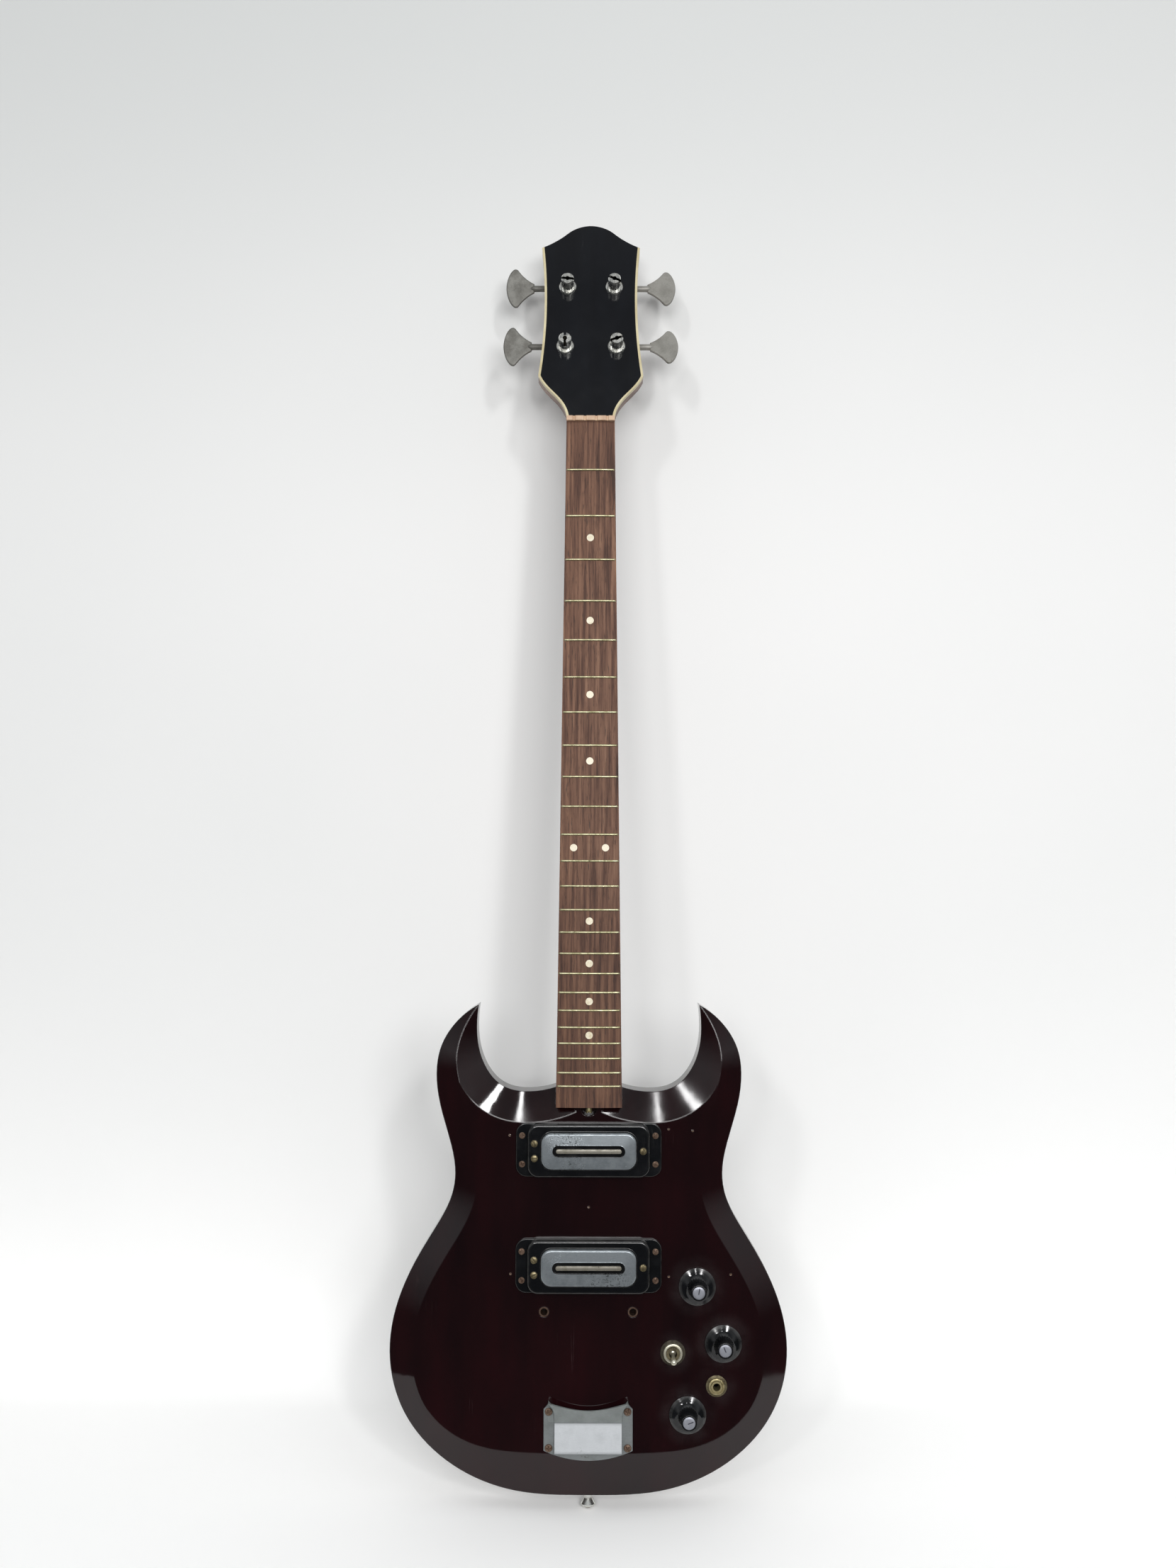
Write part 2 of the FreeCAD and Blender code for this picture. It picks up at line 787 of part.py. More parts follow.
def head_face():
    shoulder, waist, flare, sweep = head_sides(0)
    crown = [FreeCAD.Vector(0, 0, d.head_length.value)]
    for across_share, up_share in crown_shares:
        crown.append(FreeCAD.Vector(shoulder.x * across_share, 0,
                                    between(shoulder.z, d.head_length.value, up_share)))
    crown.append(shoulder)
    top = [flip(spot) for spot in reversed(crown[1:])] + crown
    edges = [smooth(top).toShape(), smooth([shoulder, waist, flare]).toShape(), smooth(sweep).toShape(),
             Part.makeLine(sweep[-1], flip(sweep[-1])),
             smooth([flip(spot) for spot in sweep]).toShape(),
             smooth([flip(shoulder), flip(waist), flip(flare)]).toShape()]
    return Part.Face(Part.Wire(Part.__sortEdges__(edges)))


def head_inner_face():
    # The space between the two bindings, open past the crown and the nut.
    inset = d.binding_width.value
    shoulder, waist, flare, sweep = head_sides(inset)
    high = FreeCAD.Vector(shoulder.x, 0, d.head_length.value + d.overrun.value)
    low = FreeCAD.Vector(sweep[-1].x, 0, -d.overrun.value)
    edges = [Part.makeLine(flip(high), high), Part.makeLine(high, shoulder),
             smooth([shoulder, waist, flare]).toShape(), smooth(sweep).toShape(),
             Part.makeLine(sweep[-1], low), Part.makeLine(low, flip(low)),
             Part.makeLine(flip(low), flip(sweep[-1])),
             smooth([flip(spot) for spot in sweep]).toShape(),
             smooth([flip(shoulder), flip(waist), flip(flare)]).toShape(),
             Part.makeLine(flip(shoulder), flip(high))]
    return Part.Face(Part.Wire(Part.__sortEdges__(edges)))


def layer(face, front, back):
    solid = face.extrude(FreeCAD.Vector(0, back - front, 0))
    solid.translate(FreeCAD.Vector(0, front, 0))
    return solid


veneer_back = d.veneer_thickness.value
binding_back = d.binding_depth.value
head_back = d.head_thickness.value
inside_binding = layer(head_inner_face(), -d.overrun.value, head_back + d.overrun.value)
veneer_blank = shaped("veneer_blank", layer(head_face(), 0, veneer_back).common(inside_binding))
binding_shape = layer(head_face(), 0, binding_back).cut(inside_binding)
binding_blank = place(shaped("binding_blank", binding_shape), **head_place)
nut_blank = block("nut_blank", -d.board_nut_half, -(d.neck_rise + d.nut_height), d.scale_length,
                  d.board_nut_half * 2, d.nut_height, d.nut_length)
binding = node("headstock_binding", cut("headstock_binding", binding_blank, [nut_blank]))
core_shape = layer(head_face(), veneer_back, head_back)
core_shape = core_shape.cut(layer(head_face(), veneer_back, binding_back).cut(inside_binding))
head_core = place(shaped("head_core", core_shape), **head_place)

post_spots = [(side * x, z) for label, side, x, z, key_turn, post_turn in tuners]
post_holes = gather("post_holes", [
    rod("post_hole_%d" % index, d.ferrule_sleeve_radius, d.head_thickness + d.overrun * 2, x, -d.overrun, z)
    for index, (x, z) in enumerate(post_spots)])
veneer_drilled = place(cut("veneer_drilled", veneer_blank, [post_holes]), **head_place)
veneer = node("headstock_veneer", cut("headstock_veneer", veneer_drilled, [nut_blank]))


# Tuning machines: plate, ferrule, post, gear and key of the right-hand pattern

plate_back = d.head_thickness + d.tuner_plate_thickness
gear_front = plate_back + d.gear_lift
gear_middle = gear_front + d.gear_thickness / 2
worm_z = d.gear_pitch_radius + d.worm_pitch_radius
ear_start = d.worm_half_length + d.running_fit * 2
journal = d.key_shaft_radius + d.running_fit


def tuner_plate():
    base = block("tuner_base", -d.tuner_plate_width / 2, d.head_thickness, -d.tuner_plate_below,
                 d.tuner_plate_width, d.tuner_plate_thickness, d.tuner_plate_below + d.tuner_plate_above)
    tall = gear_middle + journal + d.ear_margin - d.head_thickness
    ears = []
    for label, start in (("outer", ear_start), ("inner", -(ear_start + d.ear_thickness))):
        ears.append(block("tuner_ear_" + label, start, d.head_thickness, worm_z - d.ear_half_width,
                          d.ear_thickness, tall, d.ear_half_width * 2))
    bore = rod("tuner_worm_bore", journal, d.tuner_plate_width, -d.tuner_plate_width / 2, gear_middle, worm_z, "+x")
    hole = rod("tuner_post_hole", d.post_radius + d.running_fit, d.tuner_plate_thickness + d.overrun * 2,
               0, d.head_thickness - d.overrun, 0)
    return cut("tuner_plate_pattern", fuse("tuner_plate_solid", [base] + ears), [bore, hole])


def tuner_ferrule():
    inner = d.post_radius + d.running_fit
    return turned("tuner_ferrule_pattern", [
        (inner, d.ferrule_lip), (d.ferrule_radius - d.ferrule_lip * 0.5, d.ferrule_lip),
        (d.ferrule_radius, d.ferrule_lip * 0.5), (d.ferrule_radius, 0), (d.ferrule_sleeve_radius, 0),
        (d.ferrule_sleeve_radius, -d.ferrule_sleeve_length), (inner, -d.ferrule_sleeve_length)])


def tuner_post():
    tail = gear_front + d.gear_thickness
    shaft = turned("tuner_post_turned", [
        (0, d.post_rise), (d.post_radius * 0.85, d.post_rise), (d.post_radius, d.post_rise - d.post_radius * 0.15),
        (d.post_radius, -gear_front), (d.post_tail_radius, -gear_front), (d.post_tail_radius, -tail), (0, -tail)])
    axis, turn = along["-y"]
    place(shaft, 0, 0, 0, axis, turn)
    slot = block("tuner_post_slot", -(d.post_radius + d.overrun), -(d.post_rise + d.overrun), -d.post_slot_width / 2,
                 (d.post_radius + d.overrun) * 2, d.post_slot_depth + d.overrun, d.post_slot_width)
    bore = rod("tuner_post_bore", d.post_bore_radius, d.post_bore_depth + d.overrun, 0, -(d.post_rise + d.overrun), 0)
    return cut("tuner_post_pattern", shaft, [slot, bore])


def tuner_gear():
    # Straight-flanked teeth, one gap facing the worm, with slack on both flanks.
    pitch = d.gear_pitch_radius * (2 * math.pi) / d.gear_teeth
    gap = (pitch / 2 + d.mesh_slack) / 2
    rise = tangent(d.tooth_flank)
    deep = d.gear_pitch_radius - d.tooth_root
    high = d.gear_pitch_radius + d.tooth_crest + d.overrun
    body = doc.addObject("PartDesign::Body", "tuner_gear_toothed")
    ring = polygon(body, "gear_blank_profile", "XZ_Plane", [
        (d.post_tail_radius, -gear_front - d.gear_thickness),
        (d.gear_pitch_radius + d.tooth_crest, -gear_front - d.gear_thickness),
        (d.gear_pitch_radius + d.tooth_crest, -gear_front), (d.post_tail_radius, -gear_front)])
    disc = body.newObject("PartDesign::Revolution", "gear_blank")
    disc.Profile = ring
    disc.ReferenceAxis = (ring, ["V_Axis"])
    disc.Angle = 360
    doc.recompute()
    profile = polygon(body, "gear_gap_profile", "XY_Plane", [
        (gap - (d.gear_pitch_radius - deep) * rise, deep), (gap + (high - d.gear_pitch_radius) * rise, high),
        (-(gap + (high - d.gear_pitch_radius) * rise), high), (-(gap - (d.gear_pitch_radius - deep) * rise), deep)])
    pocket_cut = body.newObject("PartDesign::Pocket", "gear_gap")
    pocket_cut.Profile = profile
    pocket_cut.Type = "ThroughAll"
    pocket_cut.Midplane = True
    doc.recompute()
    pattern = body.newObject("PartDesign::PolarPattern", "gear_gaps")
    pattern.Originals = [pocket_cut]
    pattern.Axis = (profile, ["N_Axis"])
    pattern.Angle = 360
    pattern.setExpression("Occurrences", text(d.gear_teeth))
    body.Tip = pattern
    axis, turn = along["-y"]
    place(body, 0, 0, 0, axis, turn)
    screw = turned("tuner_gear_screw", [
        (0, 0), (d.gear_screw_radius, 0), (d.gear_screw_radius, d.gear_screw_height * 0.5),
        (d.gear_screw_radius * 0.6, d.gear_screw_height), (0, d.gear_screw_height)])
    axis, turn = along["+y"]
    place(screw, 0, gear_front + d.gear_thickness, 0, axis, turn)
    return gather("tuner_gear_pattern", [body, screw])


def tuner_worm():
    # The worm is cut as one helical thread round the key's shaft.
    pitch = d.gear_pitch_radius * (2 * math.pi) / d.gear_teeth
    half = (pitch / 2 - d.mesh_slack) / 2
    rise = tangent(d.tooth_flank)
    root = d.worm_pitch_radius - d.tooth_root
    crest = d.worm_pitch_radius + d.tooth_crest
    end = ear_start + d.ear_thickness
    body = doc.addObject("PartDesign::Body", "tuner_worm")
    profile = polygon(body, "worm_shaft_profile", "XZ_Plane", [
        (0, -end), (d.key_shaft_radius, -end), (d.key_shaft_radius, -d.worm_half_length),
        (root, -d.worm_half_length), (root, d.worm_half_length), (d.key_shaft_radius, d.worm_half_length),
        (d.key_shaft_radius, end + d.running_fit * 2), (d.key_neck_radius, end + d.running_fit * 2),
        (d.key_neck_radius, d.button_start + d.key_neck_radius), (0, d.button_start + d.key_neck_radius)])
    shaft = body.newObject("PartDesign::Revolution", "worm_shaft")
    shaft.Profile = profile
    shaft.ReferenceAxis = (profile, ["V_Axis"])
    shaft.Angle = 360
    doc.recompute()
    start = pitch * d.worm_turns / 2
    foot = root - d.tooth_root * 0.5
    spread = (d.worm_pitch_radius - foot) * rise
    thread = polygon(body, "worm_thread_profile", "XZ_Plane", [
        (foot, -start - half - spread), (crest, -start - half + d.tooth_crest * rise),
        (crest, -start + half - d.tooth_crest * rise), (foot, -start + half + spread)])
    helix = body.newObject("PartDesign::AdditiveHelix", "worm_thread")
    helix.Profile = thread
    helix.ReferenceAxis = (thread, ["V_Axis"])
    helix.Mode = "pitch-turns-angle"
    helix.setExpression("Pitch", text(pitch))
    helix.setExpression("Turns", text(d.worm_turns))
    helix.LeftHanded = False
    helix.Reversed = False
    body.Tip = helix
    axis, turn = along["+x"]
    return place(body, 0, 0, 0, axis, turn)


def button_shape():
    # A flared fishtail plate: a narrow neck, hollow flanks, round tips and a bowed outer edge.
    start = d.button_start.value
    wide = d.button_length.value
    tall = d.button_half_height.value
    upper = [FreeCAD.Vector(start + wide * out, 0, tall * up) for out, up in button_shares]
    lower = [FreeCAD.Vector(spot.x, 0, -spot.z) for spot in reversed(upper)]
    edges = [smooth(upper + [FreeCAD.Vector(start + wide, 0, 0)] + lower).toShape(),
             Part.makeLine(lower[-1], upper[0])]
    thick = d.button_thickness.value
    return layer(Part.Face(Part.Wire(edges)), -thick / 2, thick / 2)


plate_pattern = tuner_plate()
ferrule_pattern = tuner_ferrule()
post_pattern = tuner_post()
gear_pattern = tuner_gear()
worm_right = gather("tuner_worm_right", [tuner_worm()])
worm_left = mirrored("tuner_worm_left", worm_right)
button_blank = shaped("button_blank", button_shape())
collar = taper("button_collar", d.key_neck_radius * 1.25, d.key_neck_radius, d.key_neck_radius * 3,
               d.button_start, 0, 0, "+x")
button_right = fuse("button_right", [button_blank, collar])
button_left = mirrored("button_left", button_right)

plate_links = []
ferrule_links = []
plate_screw_spots = []
for label, side, x, z, key_turn, post_turn in tuners:
    plate_links.append(copy("plate_" + label, plate_pattern, side * x, 0, z))
    axis, lay = along["-y"]
    ferrule_links.append(copy("ferrule_" + label, ferrule_pattern, side * x, 0, z, axis, lay))
    for across_side in (-1, 1):
        for height in (-d.tuner_plate_below + d.tuner_screw_inset, d.tuner_plate_above - d.tuner_screw_inset):
            edge = d.tuner_plate_width / 2 - d.tuner_screw_inset
            plate_screw_spots.append((side * x + across_side * edge, plate_back, z + height))
tuner_screws = gather("tuner_plate_screws", screw_links("plate_screw", tuner_screw, plate_screw_spots, "+y"))
node("tuner_plate_screws", place(tuner_screws, **head_place))
plate_holes = gather("plate_holes", [
    rod("plate_hole_%d" % index, d.tuner_shank_radius, d.tuner_plate_thickness + d.overrun * 2, x,
        y - d.tuner_plate_thickness - d.overrun, z)
    for index, (x, y, z) in enumerate(plate_screw_spots)])
tuner_plates = cut("tuner_plates", gather("tuner_plate_set", plate_links), [plate_holes])
node("tuner_plates", place(tuner_plates, **head_place))
node("tuner_ferrules", place(gather("tuner_ferrules", ferrule_links), **head_place))

for label, side, x, z, key_turn, post_turn in tuners:
    worm = worm_right if side > 0 else worm_left
    button = button_right if side > 0 else button_left
    pieces = {
        "post": copy("post_link_" + label, post_pattern, side * x, 0, z, (0, 1, 0), post_turn),
        "gear": copy("gear_link_" + label, gear_pattern, side * x, 0, z),
    }
    for piece, link in pieces.items():
        name = "tuner_%s_%s" % (label, piece)
        node(name, place(gather(name, [link]), **head_place))
    key = fuse("tuner_%s_key" % label, [
        copy("worm_link_" + label, worm, side * x, gear_middle, z + worm_z),
        copy("button_link_" + label, button, side * x, gear_middle, z + worm_z, (1, 0, 0), key_turn)])
    node("tuner_%s_key" % label, place(key, **head_place))


# Neck joined to its headstock, bored for the tuning machines and the truss rod

rod_start = d.board_end_z - d.truss_nut_length
rod_end = d.scale_length - d.truss_rod_margin
truss_bore = rod("truss_bore", d.truss_rod_radius, rod_end - d.board_end_z + d.overrun,
                 0, d.truss_rod_depth, d.board_end_z - d.overrun, "+z")
head_holes = place(gather("head_holes", [
    rod("head_hole_%d" % index, d.ferrule_sleeve_radius, d.head_thickness + d.overrun * 2, x, -d.overrun, z)
    for index, (x, z) in enumerate(post_spots)]), **head_place)
neck_solid = fuse("neck_solid", [neck_blank, volute, heel, tongue, head_core])
node("neck", cut("neck", neck_solid, [truss_bore, head_holes, tuner_screws, binding, veneer, nut_blank]))
node("truss_rod", rod("truss_rod", d.truss_rod_radius, rod_end - rod_start - d.truss_nut_slot,
                      0, d.truss_rod_depth, rod_start + d.truss_nut_slot, "+z"))
truss_nut_blank = rod("truss_nut_blank", d.truss_nut_radius, d.truss_nut_length - d.running_fit,
                      0, d.truss_rod_depth, rod_start - d.running_fit, "+z")
truss_nut_bore = rod("truss_nut_bore", d.truss_rod_radius + d.running_fit, d.truss_nut_length + d.overrun,
                     0, d.truss_rod_depth, rod_start - d.running_fit + d.truss_nut_slot, "+z")
truss_nut_slot = block("truss_nut_slot", -d.truss_nut_slot / 2, d.truss_rod_depth - d.truss_nut_radius - d.overrun,
                       rod_start - d.overrun, d.truss_nut_slot, (d.truss_nut_radius + d.overrun) * 2,
                       d.overrun + d.truss_nut_slot)
truss_notch = tile("truss_notch", 0, d.board_end_z, d.truss_notch_half, d.truss_notch_length,
                   -d.overrun, d.overrun + d.truss_notch_depth, d.truss_notch_half * 0.9)


# Fingerboard with a cambered top, its dots, frets and nut

def board_blank(name, front, back, inset):
    low = d.board_end_z
    high = d.scale_length
    plan = slab(name + "_plan", [(-(board_half(low) - inset), low), (board_half(low) - inset, low),
                                 (board_half(high) - inset, high), (-(board_half(high) - inset), high)],
                -front, front - back)
    camber = rod(name + "_camber", d.board_camber, high - low + d.overrun * 2, 0,
                 d.board_camber - front, low - d.overrun, "+z")
    return common(name, plan, camber)


board_solid = board_blank("board_solid", board_top, d.neck_rise, 0)
dot_spots = []
for index in dot_frets + [pair_fret]:
    middle = (fret_z(index) + fret_z(index - 1)) / 2
    offsets = [-d.dot_pair_x, d.dot_pair_x] if index == pair_fret else [0]
    dot_spots += [(offset, middle) for offset in offsets]


def dot_rods(name):
    return gather(name, [rod("%s_%d" % (name, index), d.dot_radius, d.dot_depth + d.overrun, x,
                             -(board_top + d.overrun), z)
                         for index, (x, z) in enumerate(dot_spots)])


node("fret_dots", common("fret_dots", dot_rods("dot_fills"), board_solid))
node("fingerboard", cut("fingerboard", board_solid, [dot_rods("dot_holes")]))

fret_bars = gather("fret_bars", [
    block("fret_bar_%d" % index, -d.board_end_half, -(board_top + d.fret_height), fret_z(index) - d.fret_width / 2,
          d.board_end_half * 2, d.board_thickness, d.fret_width)
    for index in range(1, counts["fret_count"] + 1)])
fret_envelope = board_blank("fret_envelope", board_top + d.fret_height, d.neck_rise, d.fret_inset)
node("frets", cut("frets", common("fret_strips", fret_bars, fret_envelope), [board_solid]))

nut_slots = [rod("nut_slot_%d" % index, d.nut_slot_radius, d.nut_length + d.overrun * 2,
                 d.nut_slot_spacing * (index - 1.5), -(d.neck_rise + d.nut_height), d.scale_length - d.overrun, "+z")
             for index in range(4)]
node("nut", cut("nut", nut_blank, nut_slots))


# Pickups: each hangs on three screws in a black surround and is free to go up and down

surround_screw_spots = []
height_screw_links = []
cavities = []
height_screw = turned("height_screw", [
    (0, d.height_screw_head_height), (d.height_screw_head * 0.6, d.height_screw_head_height),
    (d.height_screw_head, d.height_screw_head_height * 0.4), (d.height_screw_head, 0),
    (d.height_screw_radius, 0), (d.height_screw_radius, -d.height_screw_length), (0, -d.height_screw_length)])


def pickup(name, z):
    spots = [(-d.height_screw_x, z + d.height_screw_z), (-d.height_screw_x, z - d.height_screw_z),
             (d.height_screw_x, z)]
    flange = tile(name + "_flange", 0, z, d.surround_half_width, d.surround_half_height,
                  -d.surround_flange, d.surround_flange, d.surround_corner)
    raised = tile(name + "_raised", 0, z, d.raised_half_width, d.surround_half_height,
                  -d.raised_height, d.raised_height, d.surround_corner)
    hollow = tile(name + "_hollow", 0, z, d.raised_half_width - d.surround_wall,
                  d.surround_half_height - d.surround_wall, -(d.raised_height - d.surround_wall),
                  d.raised_height, d.surround_corner - d.surround_wall)
    window = tile(name + "_window", 0, z, d.cover_half_width + d.cover_gap, d.cover_half_height + d.cover_gap,
                  -(d.raised_height + d.overrun), d.raised_height, d.cover_corner + d.cover_gap)
    holes = [rod("%s_screw_hole_%d" % (name, index), d.height_screw_radius + d.running_fit,
                 d.raised_height + d.overrun, x, -(d.raised_height + d.overrun), spot_z)
             for index, (x, spot_z) in enumerate(spots)]
    corners = [(side * d.surround_screw_x, z + up * d.surround_screw_z) for side in (-1, 1) for up in (-1, 1)]
    for index, (x, spot_z) in enumerate(corners):
        holes.append(rod("%s_corner_hole_%d" % (name, index), d.small_shank_radius,
                         d.surround_flange + d.overrun * 2, x, -(d.surround_flange + d.overrun), spot_z))
        surround_screw_spots.append((x, -d.surround_flange, spot_z))
    node(name + "_surround", cut(name + "_surround", fuse(name + "_shell", [flange, raised]),
                                 [hollow, window] + holes))

    top = -d.cover_rise
    plate_front = d.pickup_depth
    inner_front = top + d.cover_wall
    outside = tile(name + "_cover_outside", 0, z, d.cover_half_width, d.cover_half_height,
                   top, d.cover_rise + plate_front, d.cover_corner)
    inside = tile(name + "_cover_inside", 0, z, d.cover_half_width - d.cover_wall, d.cover_half_height - d.cover_wall,
                  inner_front, d.cover_rise + plate_front, d.cover_corner - d.cover_wall)
    slot = tile(name + "_cover_slot", 0, z, d.slot_half_width, d.slot_half_height, top - d.overrun,
                d.overrun * 2, d.slot_half_height * 0.96)
    node(name + "_cover", cut(name + "_cover", outside, [inside, slot]))

    magnet_front = plate_front - d.magnet_thickness
    coil_front = inner_front + d.cover_wall
    room = d.cover_wall + d.coil_gap
    coil = tile(name + "_coil_block", 0, z, d.cover_half_width - room, d.cover_half_height - room,
                coil_front, magnet_front - coil_front, d.cover_corner - room)
    blade_slot = tile(name + "_blade_slot", 0, z, d.blade_half_width, d.blade_half_thickness,
                      top - d.overrun, d.cover_rise + d.overrun + plate_front)
    node(name + "_coil", cut(name + "_coil", coil, [blade_slot]))
    node(name + "_blade", tile(name + "_blade", 0, z, d.blade_half_width, d.blade_half_thickness,
                               top, magnet_front - top))
    magnet = tile(name + "_magnet", 0, z, d.magnet_half_width, d.magnet_half_height,
                  magnet_front, d.magnet_thickness)
    plate = tile(name + "_plate_blank", 0, z, d.pickup_plate_half_width, d.pickup_plate_half_height,
                 plate_front, d.pickup_plate_thickness, d.pickup_cavity_corner)
    plate_holes = [rod("%s_plate_hole_%d" % (name, index), d.height_screw_radius + d.running_fit,
                       d.pickup_plate_thickness + d.overrun * 2, x, plate_front - d.overrun, spot_z)
                   for index, (x, spot_z) in enumerate(spots)]
    drilled = cut(name + "_plate", plate, plate_holes)
    node(name + "_base", gather(name + "_base", [drilled, magnet]))
    sleeve = d.raised_height - d.surround_wall + plate_front - d.pickup_travel - d.sleeve_gap
    sleeves = []
    for index, (x, spot_z) in enumerate(spots):
        tube = rod("%s_sleeve_outside_%d" % (name, index), d.sleeve_radius, sleeve,
                   x, plate_front - sleeve, spot_z)
        bore = rod("%s_sleeve_bore_%d" % (name, index), d.height_screw_radius + d.running_fit,
                   sleeve + d.overrun * 2, x, plate_front - sleeve - d.overrun, spot_z)
        sleeves.append(cut("%s_sleeve_%d" % (name, index), tube, [bore]))
        axis, turn = along["-y"]
        height_screw_links.append(copy("%s_height_screw_%d" % (name, index), height_screw,
                                       x, -d.raised_height, spot_z, axis, turn))
    node(name + "_sleeves", gather(name + "_sleeves", sleeves))
    cavities.append(tile(name + "_cavity", 0, z, d.pickup_plate_half_width + d.cavity_clearance,
                         d.pickup_plate_half_height + d.cavity_clearance, -d.overrun,
                         d.overrun + d.pickup_cavity_depth, d.pickup_cavity_corner))


for pickup_name, pickup_z in pickups:
    pickup(pickup_name, pickup_z)
small_screw_links = screw_links("surround_screw", small_screw, surround_screw_spots, "-y")
node("pickup_height_screws", gather("pickup_height_screws", height_screw_links))


# Bridge stud bushings and the stamped tailpiece

bushings = []
stud_holes = []
for index, side in enumerate((-1, 1)):
    x = side * d.stud_half_spacing
    sleeve = rod("bushing_outside_%d" % index, d.bushing_radius, d.bushing_length, x, 0, bridge_z)
    bore = rod("bushing_bore_%d" % index, d.stud_bore_radius, d.bushing_length + d.overrun * 2, x, -d.overrun, bridge_z)
    bushings.append(cut("bushing_%d" % index, sleeve, [bore]))
    stud_holes.append(rod("stud_hole_%d" % index, d.bushing_radius, d.bushing_length + d.overrun, x, -d.overrun, bridge_z))
node("bridge_bushings", gather("bridge_bushings", bushings))


def tailpiece_outline():
    top = -d.tailpiece_top_drop.value
    corner = FreeCAD.Vector(d.tailpiece_top_half.value, 0, top)
    shoulder = FreeCAD.Vector(d.tailpiece_half_width.value, 0, -d.tailpiece_shoulder_drop.value)
    foot = FreeCAD.Vector(d.tailpiece_half_width.value, 0, -d.tailpiece_side_drop.value)
    dip = FreeCAD.Vector(0, 0, top - d.tailpiece_top_dip.value)
    belly = FreeCAD.Vector(0, 0, -d.tailpiece_bottom_drop.value)
    edges = [Part.Arc(flip(corner), dip, corner).toShape(), Part.makeLine(corner, shoulder),
             Part.makeLine(shoulder, foot), Part.Arc(foot, belly, flip(foot)).toShape(),
             Part.makeLine(flip(foot), flip(shoulder)), Part.makeLine(flip(shoulder), flip(corner))]
    return Part.Face(Part.Wire(edges))


def tailpiece_side(points, half, wide):
    # A side view in Y and Z drawn out across the part.
    spots = [FreeCAD.Vector(-half, y, z) for y, z in points]
    return Part.Face(Part.makePolygon(spots + spots[:1])).extrude(FreeCAD.Vector(wide, 0, 0))


def tailpiece_shape():
    sheet = d.tailpiece_sheet.value
    half = d.hood_half_width.value
    top = -d.tailpiece_top_drop.value + sheet
    valley = -d.valley_drop.value
    foot = -d.tailpiece_side_drop.value
    hood = -d.hood_height.value
    low = -d.valley_height.value
    ramp = -d.ramp_height.value
    face = tailpiece_outline()
    whole = layer(face, hood - d.overrun.value, 0)
    flat = layer(face, -sheet, 0)
    skin = [(hood, top), (hood + sheet, top), (low + sheet * 0.9, valley), (ramp + sheet, foot),
            (0, foot - sheet), (-sheet, foot - sheet * 2), (ramp, foot - sheet), (low, valley)]
    cheek = [(hood, top), (0, top), (0, foot - sheet), (ramp, foot - sheet), (low, valley)]
    room = tailpiece_side([(hood - sheet, top), (0, top), (0, foot), (hood - sheet, foot)], half, half * 2)
    cheeks = [tailpiece_side(cheek, half, sheet), tailpiece_side(cheek, -half + sheet, sheet)]
    shell = tailpiece_side(skin, half, half * 2).fuse(cheeks).common(whole)
    return flat.cut(room).fuse(shell).removeSplitter()


tail_screw_spots = []
tail_holes = []
for side in (-1, 1):
    for drop in (d.tailpiece_screw_upper_drop, d.tailpiece_screw_lower_drop):
        tail_screw_spots.append((side * d.tailpiece_screw_x, -d.tailpiece_sheet, -drop))
        tail_holes.append(rod("tail_hole_%d" % len(tail_holes), d.large_shank_radius,
                              d.tailpiece_sheet + d.overrun * 2, side * d.tailpiece_screw_x,
                              -(d.tailpiece_sheet + d.overrun), -drop))
node("tailpiece", cut("tailpiece", shaped("tailpiece_blank", tailpiece_shape()), tail_holes))
large_screw_links = screw_links("tailpiece_screw", large_screw, tail_screw_spots, "-y")


# Controls: three pots with knobs, a toggle switch and a jack, in a cavity closed from the back

panel_holes = []
pots = []
nuts = []


def hex_nut(name, radius, height, bore, x, front, z):
    prism = add("Part::Prism", name + "_hex", Circumradius=radius, Height=height)
    prism.Polygon = 6
    axis, turn = along["+y"]
    place(prism, x, front, z, axis, turn)
    hole = rod(name + "_bore", bore, height + d.overrun * 2, x, front - d.overrun, z)
    return cut(name, prism, [hole])


def ring(name, radius, height, bore, x, front, z):
    outside = rod(name + "_outside", radius, height, x, front, z)
    hole = rod(name + "_bore", bore, height + d.overrun * 2, x, front - d.overrun, z)
    return cut(name, outside, [hole])


def knob_shape():
    # A flared skirt sweeping in to a straight stem, hollow below for the nut and bored for the shaft.
    gap = d.knob_gap.value
    rim = gap + d.knob_rim.value
    stem = d.knob_stem_base.value
    top = d.knob_height.value
    outer = d.knob_radius.value
    inner = d.knob_stem_radius.value
    recess = d.knob_recess_depth.value
    seat = top - d.cap_thickness.value
    bore = d.pot_shaft_radius.value
    deep = d.knob_bore_depth.value

    def spot(radius, height):
        return FreeCAD.Vector(radius, 0, height)

    bend = spot(between(inner, outer, 0.30), between(rim, stem, 0.52))
    edges = [Part.makePolygon([spot(d.knob_recess_radius.value, gap), spot(outer, gap), spot(outer, rim)]),
             Part.Arc(spot(outer, rim), bend, spot(inner, stem)).toShape(),
             Part.makePolygon([spot(inner, stem), spot(inner, top), spot(d.cap_radius.value, top),
                               spot(d.cap_radius.value, seat), spot(0, seat), spot(0, deep), spot(bore, deep),
                               spot(bore, recess), spot(d.knob_recess_radius.value, recess),
                               spot(d.knob_recess_radius.value, gap)])]
    outline = Part.Wire([edge for item in edges for edge in item.Edges])
    return Part.Face(outline).revolve(FreeCAD.Vector(), FreeCAD.Vector(0, 0, 1), 360)


